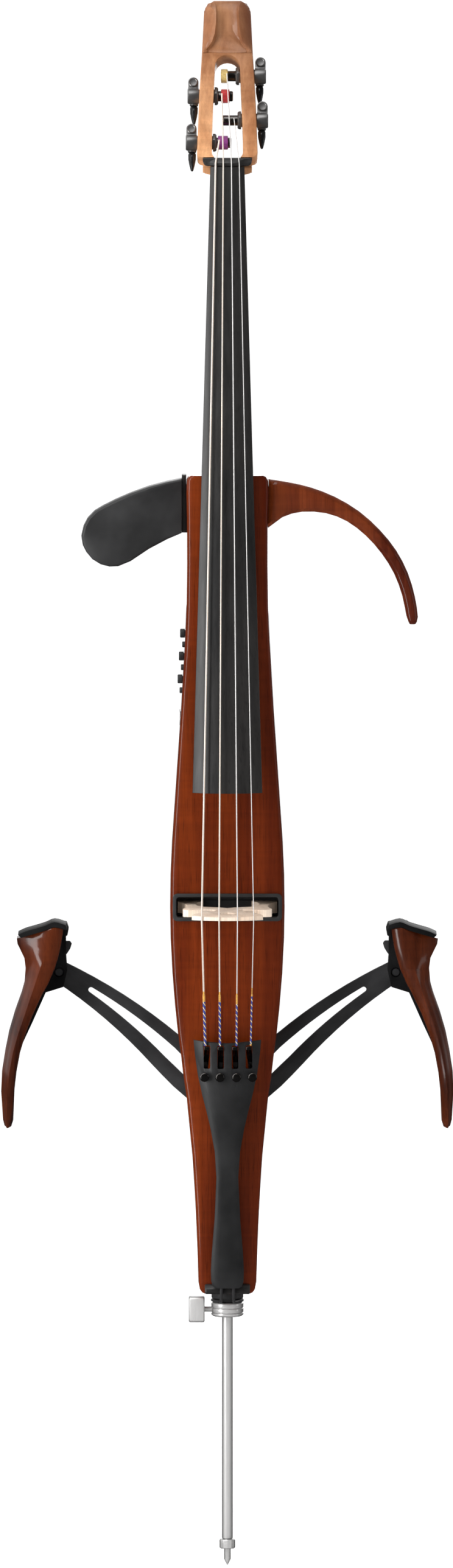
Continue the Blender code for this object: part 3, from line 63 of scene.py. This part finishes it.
class Look:
    """A Principled material and the procedural nodes that feed it."""

    def __init__(self, name, rough, metal=0.0, coat=0.0, coat_rough=0.05, spec=0.5):
        self.mat = bpy.data.materials.new(name)
        self.mat.use_nodes = True
        self.tree = self.mat.node_tree
        self.shader = self.tree.nodes["Principled BSDF"]
        self.set("Roughness", rough)
        self.set("Metallic", metal)
        self.set("Coat Weight", coat)
        self.set("Coat Roughness", coat_rough)
        self.set("Specular IOR Level", spec)
        self.where = self.add("ShaderNodeTexCoord").outputs["Object"]
        self.height = None

    def add(self, kind, **settings):
        node = self.tree.nodes.new(kind)
        for key, value in settings.items():
            setattr(node, key, value)
        return node

    def set(self, socket, value):
        self.shader.inputs[socket].default_value = value

    def join(self, a, b):
        self.tree.links.new(a, b)

    def put(self, socket, value):
        """A number, a colour or another node's output, into a socket."""
        if isinstance(value, bpy.types.NodeSocket):
            self.join(value, socket)
        elif isinstance(value, tuple) and len(value) == 3 and socket.type == "RGBA":
            socket.default_value = (*value, 1.0)
        else:
            socket.default_value = value

    def mapped(self, scale, turn=(0, 0, 0), move=(0, 0, 0)):
        node = self.add("ShaderNodeMapping")
        node.inputs["Scale"].default_value = scale
        node.inputs["Rotation"].default_value = turn
        node.inputs["Location"].default_value = move
        self.join(self.where, node.inputs["Vector"])
        return node.outputs["Vector"]

    def noise(self, scale, detail=4.0, rough=0.55, turn=(0, 0, 0), twist=0.0, move=(0, 0, 0)):
        node = self.add("ShaderNodeTexNoise")
        node.inputs["Scale"].default_value = 1.0
        node.inputs["Detail"].default_value = detail
        node.inputs["Roughness"].default_value = rough
        node.inputs["Distortion"].default_value = twist
        self.join(self.mapped(scale, turn, move), node.inputs["Vector"])
        return node.outputs["Fac"]

    def ramp(self, fac, *stops):
        """A colour ramp. Each stop is (place, colour or grey)."""
        node = self.add("ShaderNodeValToRGB")
        points = node.color_ramp.elements
        while len(points) < len(stops):
            points.new(0.5)
        for point, (at, colour) in zip(points, stops):
            point.position = at
            point.color = (*colour, 1.0) if isinstance(colour, tuple) else (colour, colour, colour, 1.0)
        self.join(fac, node.inputs["Fac"])
        return node.outputs["Color"]

    def mix(self, fac, a, b, blend="MIX"):
        node = self.add("ShaderNodeMix", data_type="RGBA", blend_type=blend)
        self.put(node.inputs["Factor"], fac)
        self.put(node.inputs[6], a)
        self.put(node.inputs[7], b)
        return node.outputs[2]

    def math(self, kind, a, b=0.0):
        node = self.add("ShaderNodeMath", operation=kind)
        self.put(node.inputs[0], a)
        self.put(node.inputs[1], b)
        return node.outputs[0]

    def span(self, value, low, high, to_low, to_high):
        """Stretches the range low..high onto to_low..to_high."""
        node = self.add("ShaderNodeMapRange")
        self.put(node.inputs["Value"], value)
        for name, number in (("From Min", low), ("From Max", high), ("To Min", to_low),
                             ("To Max", to_high)):
            node.inputs[name].default_value = number
        return node.outputs[0]

    def parts(self):
        """X, Y and Z of the place on the object."""
        node = self.add("ShaderNodeSeparateXYZ")
        self.join(self.where, node.inputs[0])
        return node.outputs

    def attribute(self, name):
        return self.add("ShaderNodeAttribute", attribute_name=name).outputs["Fac"]

    def colour(self, value):
        self.put(self.shader.inputs["Base Color"], value)
        return self

    def roughness(self, value):
        self.put(self.shader.inputs["Roughness"], value)
        return self

    def bump(self, height, strength, distance=0.0003):
        node = self.add("ShaderNodeBump")
        node.inputs["Strength"].default_value = strength
        node.inputs["Distance"].default_value = distance
        self.join(height, node.inputs["Height"])
        if self.height is not None:
            self.join(self.height, node.inputs["Normal"])
        self.height = node.outputs["Normal"]
        self.join(self.height, self.shader.inputs["Normal"])
        return self


def wood(name, deep, warm, edge=None, rough=0.3, coat=0.0, coat_rough=0.06, fibre=1.0, turn=(0, 0, 0),
         figure=0.25, pores=0.35, spec=0.5):
    """Lacquered wood between a deep and a warm colour, whose fibres run along Z before the turn.

    edge is the colour that the burst attribute shades to, for sunburst stain and for painted shade, fibre
    how much finer the grain is than the body's, figure how strongly the curl across the grain shows, and
    pores how dark the pores are.
    """
    look = Look(name, rough, coat=coat, coat_rough=coat_rough, spec=spec)
    cloud = look.noise((16, 16, 4.5), 3.0, 0.5, turn)
    fine = look.noise((330 * fibre, 330 * fibre, 9 * fibre), 5.0, 0.6, turn, 0.3)
    band = look.noise((55 * fibre, 55 * fibre, 2.4), 3.0, 0.55, turn, 0.6)
    pore = look.noise((1500 * fibre, 1500 * fibre, 42), 2.0, 0.5, turn)
    tone = look.math("ADD", look.math("MULTIPLY", cloud, 0.45), look.math("MULTIPLY", band, 0.55))
    shade = look.ramp(tone, (0.37, deep), (0.63, warm))
    shade = look.mix(0.55, shade, look.ramp(fine, (0.3, 0.55), (0.7, 1.0)), "MULTIPLY")
    if figure:
        curl = look.noise((9, 9, 120), 2.0, 0.5, turn, 1.2, (3.1, 0.4, 7.7))
        shade = look.mix(figure, shade, look.ramp(curl, (0.35, 0.62), (0.65, 1.0)), "MULTIPLY")
    shade = look.mix(pores, shade, look.ramp(pore, (0.32, 0.25), (0.42, 1.0)), "MULTIPLY")
    # The burst attribute mixes in the edge colour: sunburst stain, plus painted shade on the right of the
    # body and neck.
    if edge:
        shade = look.mix(look.attribute("burst_and_shade"), shade, edge)
    look.colour(shade)
    look.roughness(look.span(fine, 0.3, 0.7, rough * 0.85, rough * 1.2))
    look.bump(fine, 0.12, 0.0002)
    look.bump(pore, 0.10, 0.0001)
    return look.mat


ACROSS_GRAIN = (0.0, math.radians(90), 0.0)
ALONG_ARC = (0.0, math.radians(55), 0.0)
ALONG_REST = (0.0, math.radians(14), 0.0)
# BODY_WOOD's and MAPLE's edge colours are partly stain and partly painted shade, through the burst
# attribute.
BODY_WOOD = wood("lacquered_body_wood", (0.074, 0.0072, 0.0007), (0.182, 0.0275, 0.0030),
                 (0.050, 0.0052, 0.0016), rough=0.36, coat=0.42, coat_rough=0.06, figure=0.3, pores=0.6,
                 spec=0.06)
ARC_WOOD = wood("lacquered_arc_wood", (0.075, 0.0105, 0.0030), (0.215, 0.0420, 0.0100),
                (0.040, 0.006, 0.003), rough=0.34, coat=0.55, coat_rough=0.05, turn=ALONG_ARC, figure=0.35,
                spec=0.10)
REST_WOOD = wood("lacquered_knee_wood", (0.018, 0.0026, 0.0008), (0.096, 0.0175, 0.0036),
                 (0.040, 0.007, 0.003), rough=0.32, coat=0.55, coat_rough=0.13, turn=ALONG_REST, figure=0.3,
                 spec=0.10)
MAPLE = wood("satin_maple", (0.440, 0.180, 0.068), (0.830, 0.430, 0.205), (0.105, 0.026, 0.009),
             rough=0.42, coat=0.20, coat_rough=0.20, fibre=1.3, figure=0.35, pores=0.2, spec=0.3)
PALE = wood("bridge_maple", (0.780, 0.590, 0.440), (0.940, 0.790, 0.650), (0.520, 0.370, 0.260),
            rough=0.5, coat=0.1, coat_rough=0.3, fibre=1.6, turn=ACROSS_GRAIN, figure=0.2, pores=0.4)
EBONY = wood("ebony", (0.0115, 0.0110, 0.0110), (0.026, 0.0240, 0.0230), None,
             rough=0.40, coat=0.10, coat_rough=0.3, fibre=0.8, figure=0.0, pores=0.5, spec=0.4)


def moulded(name, colour, rough, grain=1.0, spec=0.5):
    """Fine-textured plastic or paint. grain is how rough its texture feels."""
    look = Look(name, rough, spec=spec)
    fine = look.noise((2600, 2600, 2600), 2.0)
    patch = look.noise((26, 26, 26), 3.0, move=(1.7, 0, 0))
    lighter = tuple(min(1.0, c * 1.5 + 0.004) for c in colour)
    look.colour(look.ramp(patch, (0.35, colour), (0.7, lighter)))
    look.roughness(look.span(patch, 0.3, 0.7, rough * 0.9, rough * 1.12))
    look.bump(fine, 0.10 * grain, 0.00012)
    return look.mat


def metal(name, colour, rough, brush=(2200, 2200, 60), depth=0.1, dark=0.86, share=1.0, rim=1.0):
    """Brushed or plated metal with fine lines stretched along the axis where brush is small.

    dark is how dark the lines are, share how much of the metal mirrors, and rim how bright it stays
    where the surface turns away from the view, a painted shade on the sides that stands in for dark
    reflections.
    """
    look = Look(name, rough, metal=share)
    lines = look.noise(brush, 3.0, 0.6)
    smear = look.noise((34, 34, 22), 3.0, move=(0, 2.3, 0))
    shade = look.ramp(lines, (0.3, tuple(c * dark for c in colour)), (0.7, colour))
    # painted shade: the colour darkens where the surface turns away from the view
    if rim < 1.0:
        away = look.add("ShaderNodeLayerWeight").outputs["Facing"]
        painted_rim_shade = look.ramp(away, (0.06, 1.0), (0.34, 0.45 + rim / 2), (0.62, rim))
        shade = look.mix(1.0, shade, painted_rim_shade, "MULTIPLY")
    look.colour(shade)
    look.roughness(look.span(smear, 0.3, 0.7, rough * 0.9, rough * 1.15))
    look.bump(lines, depth, 0.00006)
    return look.mat


def wire(name, colour):
    """Flat-wound string metal: bright, a little uneven, with the winding's fine lines across it."""
    look = Look(name, 0.36, metal=0.45)
    lines = look.noise((300, 300, 5200), 2.0, 0.5)
    tone = look.noise((60, 60, 12), 2.0)
    shade = look.ramp(lines, (0.3, tuple(c * 0.78 for c in colour)), (0.7, colour))
    look.colour(look.mix(0.3, shade, look.ramp(tone, (0.3, 0.75), (0.7, 1.0)), "MULTIPLY"))
    look.bump(lines, 0.2, 0.00004)
    return look.mat


THREAD_SLOPE = 1.6  # rise of the spiral for each step across


def thread(name, colour, other=None, turn=0.0035, share=0.3):
    """Silk thread wound round a string or post.

    other is a second colour that spirals up Z, once every turn metres, over this share of the thread.
    """
    look = Look(name, 0.6)
    lines = look.noise((1500, 1500, 5200), 2.0)
    patch = look.noise((420, 420, 900), 2.0)
    shade = look.ramp(patch, (0.3, tuple(c * 0.55 for c in colour)), (0.7, colour))
    if other:
        x, _, z = look.parts()
        slope = look.math("ADD", z, look.math("MULTIPLY", x, THREAD_SLOPE))
        step = look.math("FRACT", look.math("DIVIDE", slope, turn))
        shade = look.mix(look.math("GREATER_THAN", step, 1.0 - share), shade, other)
    look.colour(look.mix(0.35, shade, look.ramp(lines, (0.3, 0.5), (0.7, 1.0)), "MULTIPLY"))
    look.bump(lines, 0.3, 0.0001)
    look.set("Sheen Weight", 0.3)
    return look.mat


BLACK = moulded("matt_black_moulding", (0.0155, 0.0155, 0.0160), 0.46, 1.0, 0.35)
TAIL = moulded("black_tailpiece_moulding", (0.0095, 0.0095, 0.0100), 0.42, 0.6, 0.35)
RUBBER = moulded("black_rubber", (0.0040, 0.0040, 0.0042), 0.60, 2.0, 0.06)
IRON = moulded("black_painted_steel", (0.0165, 0.0165, 0.0175), 0.42, 1.4, 0.3)
BOARD = moulded("green_circuit_board", (0.014, 0.110, 0.045), 0.4)
# STEEL and TURNED carry painted shade on their sides through rim.
STEEL = metal("brushed_nickel_steel", (0.86, 0.85, 0.84), 0.34, share=0.55, rim=0.16)
TURNED = metal("turned_nickel_ring", (0.94, 0.93, 0.92), 0.22, (300, 300, 3600), 0.05, 0.7,
               share=0.55, rim=0.3)
NICKEL = metal("black_nickel", (0.115, 0.108, 0.104), 0.22, (1500, 1500, 1500), 0.05)
NICKEL_SATIN = metal("satin_black_nickel", (0.20, 0.196, 0.194), 0.30, (1900, 200, 1900), share=0.85)
GLOSS = moulded("gloss_black_key", (0.006, 0.006, 0.0065), 0.14, 0.2)
WIRE_WARM = wire("warm_wound_string", (1.0, 0.87, 0.76))
WIRE_COOL = wire("cool_wound_string", (0.92, 0.90, 0.88))
SILK_GOLD = thread("gold_silk", (0.72, 0.36, 0.035))
SILK_BLUE = thread("blue_silk_with_yellow", (0.004, 0.028, 0.30), (0.85, 0.66, 0.26), 0.0052, 0.2)
SILK_PURPLE = thread("purple_silk", (0.30, 0.035, 0.27))
SILK_RED = thread("red_silk", (0.55, 0.008, 0.012))
SILK_YELLOW = thread("yellow_silk", (0.70, 0.50, 0.16))

# ---------------------------------------------------------------- which node wears what

STRINGS = "c g d a".split()


def per_string(*stems):
    """Node names of pieces that come once for each string."""
    return [f"{stem}_{string}" for stem in stems for string in STRINGS]


LOOKS = (
    (["body_shell", "front_plate"], BODY_WOOD, "sunburst_wood"),
    (["shoulder_arc"], ARC_WOOD, "sunburst_wood"),
    (["knee_rest_left", "knee_rest_right"], REST_WOOD, "sunburst_wood"),
    (["neck"], MAPLE, "neck_maple"),
    (["bridge"], PALE, "bridge_maple"),
    (["fingerboard", "nut", "saddle"], EBONY, "ebony"),
    (["endpin_rod", "endpin_screw", "output_jack"], STEEL, "nickel_steel"),
    (["endpin_collar", "endpin_tip"], TURNED, "nickel_steel"),
    (["endpin_socket", "bridge_frame", "bridge_pickup", "tail_cord", "chest_rest", "chest_hinge",
      "back_cover", "battery_holder"], BLACK, "black_plastic"),
    (["knob_volume", "knob_tone", "knob_blend"], BLACK, "black_plastic"),
    (["button_power", "button_effect", "button_phase"], BLACK, "black_plastic"),
    (["tailpiece"], TAIL, "black_plastic"),
    (["string_c", "string_g"], WIRE_WARM, "string_steel"),
    (["string_d", "string_a"], WIRE_COOL, "string_steel"),
    (per_string("tuner_housing"), NICKEL_SATIN, "black_nickel"),
    (per_string("tuner_key"), GLOSS, "black_nickel"),
    (per_string("tuner_post", "fine_lever", "fine_screw"), NICKEL, "black_nickel"),
    (["knee_arm_left", "knee_arm_right", "arm_bracket"], IRON, "black_steel"),
    (["knee_carrier_left", "knee_carrier_right"], RUBBER, "black_rubber"),
    (["circuit_board"], BOARD, "board_green"),
)
NODE_LOOK = {name: (look, slot) for names, look, slot in LOOKS for name in names}

# ---------------------------------------------------------------- sunburst stain and painted shade across the wood

# Half width of the body at each height
BODY_HALF = (
    (252, 25.6), (262, 26.6), (292, 27.5), (326, 28.9), (351, 30.3), (376, 31.9), (393, 33.6),
    (410, 35.3), (430, 37.2), (451, 40.3), (468, 42.2), (490, 45.2), (515, 47.8), (545, 50.2),
    (577, 51.8), (605, 52.3), (635, 51.9), (665, 50.6), (700, 48.3), (744, 45.3), (789, 42.2),
    (822, 40.3), (850, 38.7), (880, 37.5), (920, 37.0), (960, 37.1), (985, 37.6), (1000, 37.6),
)
# The darker edge starts at this share of the half width, and is at most this strong: on the left the
# sunburst's thin dark edge, on the right sunburst plus painted shade from the light falling off
RIGHT_BURST_AND_SHADE, LEFT_BURST = (0.15, 0.50), (0.90, 0.35)
HEAD_LOW, HEAD_RISE = 1300.0, 95.0  # the head's stain starts at this height and is full this much higher
# painted shade: the neck darkens to the right from NECK_RIGHT over NECK_WIDE
NECK_RIGHT, NECK_WIDE = -6.0, 26.0  # where the neck starts to darken to the right, and over what width


def within(value):
    return min(1.0, max(0.0, value))


def between(table, z):
    """Straight-line reading of a table of (height, value)."""
    if z <= table[0][0]:
        return table[0][1]
    for (z0, v0), (z1, v1) in zip(table, table[1:]):
        if z <= z1:
            return v0 + (v1 - v0) * (z - z0) / (z1 - z0)
    return table[-1][1]


def body_burst_and_shade(p):
    """0 down the middle of the body, more towards its sides as sunburst stain, and further in on the right
    as painted shade.
    """
    share = p.x / MM / between(BODY_HALF, p.z / MM)
    inner, most = RIGHT_BURST_AND_SHADE if share > 0 else LEFT_BURST
    return most * within((abs(share) - inner) / (1.0 - inner))


def maple_stain_and_shade(p):
    """The neck's stain, dark on the head and fading down the pegbox, plus painted shade that darkens it a
    little towards the right.
    """
    up = within((p.z / MM - HEAD_LOW) / HEAD_RISE)
    right = within((p.x / MM - NECK_RIGHT) / NECK_WIDE)
    # the up term is the head's stain, the right term is painted shade
    return min(1.0, 0.54 * up ** 1.5 + (0.10 + 0.26 * up ** 3) * right)


def no_burst(p):
    return 0.0


# ---------------------------------------------------------------- silk on the strings and posts

# Tops of the silk on the strings below the bridge, of its blue length and of its gold tip
SILK = {
    "c": (533.6, 524.0, 482.0),
    "g": (533.6, 524.0, 482.0),
    "d": (532.0, 522.0, 480.0),
    "a": (537.0, 529.0, 484.0),
}
POST_LOOKS = {"c": SILK_PURPLE, "g": SILK_RED, "d": SILK_YELLOW}
PEG_LEAN = math.radians(21.0)  # the pegbox leans back by this much
PEG_Y, PEG_Z = -3.0, 1290.5  # where its front face starts
POST_N = -10.0  # the posts lie this far behind that face
POST_U = {"c": 17.2, "g": 61.7, "d": 80.9, "a": 38.6}  # and this far up along it
WINDING_HALF = 10.0  # the windings lie within this distance of the middle
POST_FLAT_R = 5.3  # a post's own surface lies inside this radius


def silk_pick(string):
    """Which look a face of a string takes: 0 metal, 1 gold silk, 2 blue silk."""
    top, blue, tip = SILK[string]
    return lambda p: 0 if p.z > top else 1 if p.z > blue or p.z < tip else 2


def post_axis(string):
    """The Y and Z, in mm, of a tuner post's axis, which runs along X."""
    up = POST_U[string]
    return (PEG_Y + up * math.sin(PEG_LEAN) - POST_N * math.cos(PEG_LEAN),
            PEG_Z + up * math.cos(PEG_LEAN) + POST_N * math.sin(PEG_LEAN))


def post_pick(string):
    """Which look a face of a post takes: 0 metal, 1 silk."""
    y, z = post_axis(string)
    return lambda p: int(abs(p.x) < WINDING_HALF and math.hypot(p.y - y, p.z - z) > POST_FLAT_R)


def dress(node):
    """A node's looks, how its faces pick one of them, and the heights that its faces are split at."""
    look, string = NODE_LOOK[node][0], node[-1]
    if node.startswith("string_"):
        return [look, SILK_GOLD, SILK_BLUE], silk_pick(string), SILK[string]
    if node.startswith("tuner_post_") and string in POST_LOOKS:
        return [look, POST_LOOKS[string]], post_pick(string), ()
    return [look], None, ()


# ---------------------------------------------------------------- building pieces

EDGE = 0.25  # how far a sharp edge is rounded over
EDGE_STEPS = 2
EDGE_ANGLE = 28.0  # an edge is sharp when its faces turn by more than this, in degrees
SMOOTH_ANGLE = 35.0  # faces that turn by less than this are shaded as one surface
FLAT_ANGLE = 0.4  # facets that turn by less than this are joined
SAME_PLACE = 2e-6
EDGES = {"knee_rest_left": 1.1, "knee_rest_right": 1.1, "neck": 0.4, "shoulder_arc": 0.5,
         "body_shell": 0.0, "front_plate": 0.0, **{name: 0.0 for name in per_string("string")}}
EDGE_ANGLES = {"knee_rest_left": 60.0, "knee_rest_right": 60.0}
SMOOTH_ANGLES = {"knee_rest_left": 75.0, "knee_rest_right": 75.0, "neck": 50.0, "shoulder_arc": 50.0}
# What each piece's vertices carry in the burst attribute: sunburst stain, with painted shade on the right
# of the body and neck.
BURSTS_AND_SHADE = {"body_shell": body_burst_and_shade, "front_plate": body_burst_and_shade, "neck": maple_stain_and_shade,
          "shoulder_arc": no_burst, "knee_rest_left": no_burst, "knee_rest_right": no_burst,
          "bridge": no_burst}


def place(bm, node, looks):
    """Makes the piece that stands for a CAD node from a bmesh in metres."""
    bmesh.ops.recalc_face_normals(bm, faces=bm.faces)
    if bm.calc_volume(signed=True) < 0:
        bmesh.ops.reverse_faces(bm, faces=bm.faces)
    mesh = bpy.data.meshes.new(node + "_fine")
    bm.to_mesh(mesh)
    bm.free()
    mesh.shade_smooth()
    mesh.set_sharp_from_angle(angle=math.radians(SMOOTH_ANGLES.get(node, SMOOTH_ANGLE)))
    # The burst attribute holds sunburst stain and painted shade for each vertex.
    burst_and_shade = BURSTS_AND_SHADE.get(node)
    if burst_and_shade:
        shade = mesh.attributes.new("burst_and_shade", "FLOAT", "POINT")
        shade.data.foreach_set("value", [burst_and_shade(v.co) for v in mesh.vertices])
    for material in looks:
        mesh.materials.append(material)
    obj = bpy.data.objects.new(node + "_fine", mesh)
    bpy.context.scene.collection.objects.link(obj)
    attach(obj, frame["nodes"][node]["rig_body"])
    return obj


def refined(node):
    """The CAD node's own shape, its flat facets joined and its sharp edges rounded over."""
    looks, pick, cuts = dress(node)
    bm = bmesh.new()
    bm.from_mesh(frame["nodes"][node].data)
    bmesh.ops.remove_doubles(bm, verts=bm.verts, dist=SAME_PLACE)
    bmesh.ops.dissolve_limit(bm, angle_limit=math.radians(FLAT_ANGLE), verts=bm.verts, edges=bm.edges)
    edge = EDGES.get(node, EDGE)
    if edge:
        least = math.radians(EDGE_ANGLES.get(node, EDGE_ANGLE))
        sharp = [e for e in bm.edges if len(e.link_faces) == 2 and e.calc_face_angle(0.0) > least]
        bmesh.ops.bevel(bm, geom=sharp, offset=edge * MM, offset_type="OFFSET", segments=EDGE_STEPS,
                        profile=0.5, affect="EDGES", clamp_overlap=True)
    for z in cuts:
        bmesh.ops.bisect_plane(bm, geom=bm.verts[:] + bm.edges[:] + bm.faces[:], plane_co=(0, 0, z * MM),
                               plane_no=(0, 0, 1))
    if pick:
        for face in bm.faces:
            face.material_index = pick(face.calc_center_median() / MM)
    obj = place(bm, node, looks)
    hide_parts(node)
    return obj


made = {node: refined(node) for node in sorted(frame["nodes"])}

# ---------------------------------------------------------------- shoulder pieces, closed onto the body

ROOT_REACH, ROOT_DEEP = 1.6, 0.1  # points this near to the body's side move this far inside it
HINGE_OUTER, HINGE_REACH, HINGE_BACK = -41.3, 1.5, 14.5  # the hinge strip's outer side, and its back
HINGE_WIDER = 0.36  # what the strip grows by, up to the chest rest


def close_root(obj, side):
    """Brings a shoulder piece's root up to the body's side, so that no light shows between them."""
    for vert in obj.data.vertices:
        edge = between(BODY_HALF, vert.co.z / MM)
        if side * vert.co.x / MM < edge + ROOT_REACH:
            vert.co.x = side * (edge - ROOT_DEEP) * MM


def widen_hinge(obj):
    """Brings the hinge strip's outer side up to the chest rest."""
    for vert in obj.data.vertices:
        x, y = vert.co.x / MM, vert.co.y / MM
        if HINGE_OUTER < x < HINGE_OUTER + HINGE_REACH and y < HINGE_BACK:
            vert.co.x -= HINGE_WIDER * MM


close_root(made["shoulder_arc"], 1)
close_root(made["chest_hinge"], -1)
widen_hinge(made["chest_hinge"])

# ---------------------------------------------------------------- camera

VIEW_ELEVATION = math.radians(5.0)
VIEW_FAR, VIEW_HIGH = 19.0, 1.4312  # how far off the camera stands, and the height that fills the picture
AIM = Vector((-0.0008, 0.0, 0.7177))
SENSOR = 36.0
NEAR, FAR = 0.1, 400.0


def shoot():
    """The camera, a long lens in front of the cello that looks slightly down on it."""
    data = bpy.data.cameras.new("camera")
    data.sensor_fit = "VERTICAL"
    data.sensor_height = SENSOR
    data.lens = SENSOR * VIEW_FAR / VIEW_HIGH
    data.clip_start, data.clip_end = NEAR, FAR
    cam = bpy.data.objects.new("camera", data)
    bpy.context.scene.collection.objects.link(cam)
    bpy.context.scene.camera = cam
    back = Vector((0.0, -math.cos(VIEW_ELEVATION), math.sin(VIEW_ELEVATION)))
    cam.location = AIM + back * VIEW_FAR
    cam.rotation_mode = "QUATERNION"
    cam.rotation_quaternion = (-back).to_track_quat("-Z", "Y")


shoot()

# ---------------------------------------------------------------- floor

FLOOR_RADIUS, FLOOR_SIDES = 120.0, 96
FLOOR_GLOW = 0.42
FLOOR_GREYS = ((0.3, 0.90), (0.7, 0.93))
FLOOR_MIRRORED = 0.05  # like a studio, the room in front of the object is dark to its reflections


def pale_floor():
    """A plain pale disc under the cello."""
    mesh = bpy.data.meshes.new("floor")
    bm = bmesh.new()
    bmesh.ops.create_circle(bm, cap_ends=True, segments=FLOOR_SIDES, radius=FLOOR_RADIUS)
    bm.to_mesh(mesh)
    bm.free()
    pale = Look("pale_floor", 0.9, spec=0.1)
    pale.colour(pale.ramp(pale.noise((3, 3, 3), 2.0), *FLOOR_GREYS))
    pale.set("Emission Color", (1.0, 1.0, 1.0, 1.0))
    pale.set("Emission Strength", FLOOR_GLOW)
    mirror = pale.add("ShaderNodeLightPath").outputs["Is Glossy Ray"]
    dim, blend = pale.add("ShaderNodeEmission"), pale.add("ShaderNodeMixShader")
    pale.put(dim.inputs["Color"], (FLOOR_MIRRORED,) * 3)
    pale.join(mirror, blend.inputs[0])
    pale.join(pale.shader.outputs[0], blend.inputs[1])
    pale.join(dim.outputs[0], blend.inputs[2])
    pale.join(blend.outputs[0], pale.tree.nodes["Material Output"].inputs["Surface"])
    mesh.materials.append(pale.mat)
    floor = bpy.data.objects.new("floor", mesh)
    bpy.context.scene.collection.objects.link(floor)
    return floor


floor = pale_floor()

# ---------------------------------------------------------------- light

# Name, place, what it points at, width, height, watts
PANELS = (
    ("key_left", (-1.30, -1.05, 0.85), (0.0, 0.0, 0.75), 0.5, 1.9, 24.0),
    ("front", (-1.5, -2.0, 3.0), (0.0, 0.0, 0.7), 1.0, 1.0, 18.0),
    ("fill_right", (2.8, -0.6, 1.0), (0.0, 0.0, 0.75), 0.4, 2.4, 4.0),
    ("top", (-0.4, -0.9, 3.2), (0.0, 0.0, 0.9), 1.4, 1.4, 18.0),
    ("behind", (0.6, 2.6, 1.6), (0.0, 0.0, 0.8), 2.0, 2.0, 30.0),
)
# Direction that the studio is brightest in, and its greys from the darkest side to that one
LIT = (-0.55, 0.60, 0.25), ((0.05, 0.21), (0.60, 1.0))
MIRRORED = (-0.50, 0.85, 0.05), ((0.12, 0.03), (0.36, 0.10), (0.74, 1.0))
WORLD_STRENGTH = 0.95


def panel(name, where, towards, wide, high, power):
    """A soft rectangular studio light."""
    data = bpy.data.lights.new(name, "AREA")
    data.shape = "RECTANGLE"
    data.size, data.size_y, data.energy = wide, high, power
    lamp = bpy.data.objects.new(name, data)
    bpy.context.scene.collection.objects.link(lamp)
    lamp.location = where
    lamp.rotation_mode = "QUATERNION"
    lamp.rotation_quaternion = (Vector(towards) - Vector(where)).to_track_quat("-Z", "Y")


def surround(tree, toward, stops):
    """Grey of the studio round the object, brighter towards one direction."""
    coords = tree.nodes.new("ShaderNodeTexCoord")
    lean = tree.nodes.new("ShaderNodeVectorMath")
    lean.operation = "DOT_PRODUCT"
    lean.inputs[1].default_value = toward
    tree.links.new(coords.outputs["Generated"], lean.inputs[0])
    half = tree.nodes.new("ShaderNodeMapRange")
    half.inputs["From Min"].default_value, half.inputs["From Max"].default_value = -1.0, 1.0
    tree.links.new(lean.outputs["Value"], half.inputs["Value"])
    shade = tree.nodes.new("ShaderNodeValToRGB")
    while len(shade.color_ramp.elements) < len(stops):
        shade.color_ramp.elements.new(0.5)
    for point, (at, grey) in zip(shade.color_ramp.elements, stops):
        point.position, point.color = at, (grey, grey, grey, 1.0)
    tree.links.new(half.outputs[0], shade.inputs["Fac"])
    return shade.outputs["Color"]


def studio():
    """The world: white to the camera, and shaded differently to light and to reflections."""
    world = bpy.data.worlds.new("studio")
    bpy.context.scene.world = world
    world.use_nodes = True
    tree = world.node_tree
    tree.nodes.clear()
    path = tree.nodes.new("ShaderNodeLightPath")
    which = tree.nodes.new("ShaderNodeMix")
    which.data_type = "RGBA"
    tree.links.new(path.outputs["Is Glossy Ray"], which.inputs["Factor"])
    tree.links.new(surround(tree, *LIT), which.inputs[6])
    tree.links.new(surround(tree, *MIRRORED), which.inputs[7])
    light = tree.nodes.new("ShaderNodeBackground")
    light.inputs["Strength"].default_value = WORLD_STRENGTH
    tree.links.new(which.outputs[2], light.inputs["Color"])
    seen = tree.nodes.new("ShaderNodeBackground")
    seen.inputs["Color"].default_value = (1.0, 1.0, 1.0, 1.0)
    choose = tree.nodes.new("ShaderNodeMixShader")
    tree.links.new(path.outputs["Is Camera Ray"], choose.inputs[0])
    tree.links.new(light.outputs[0], choose.inputs[1])
    tree.links.new(seen.outputs[0], choose.inputs[2])
    out = tree.nodes.new("ShaderNodeOutputWorld")
    tree.links.new(choose.outputs[0], out.inputs["Surface"])


for lamp in PANELS:
    panel(*lamp)
studio()
bpy.context.scene.view_settings.view_transform = "Standard"
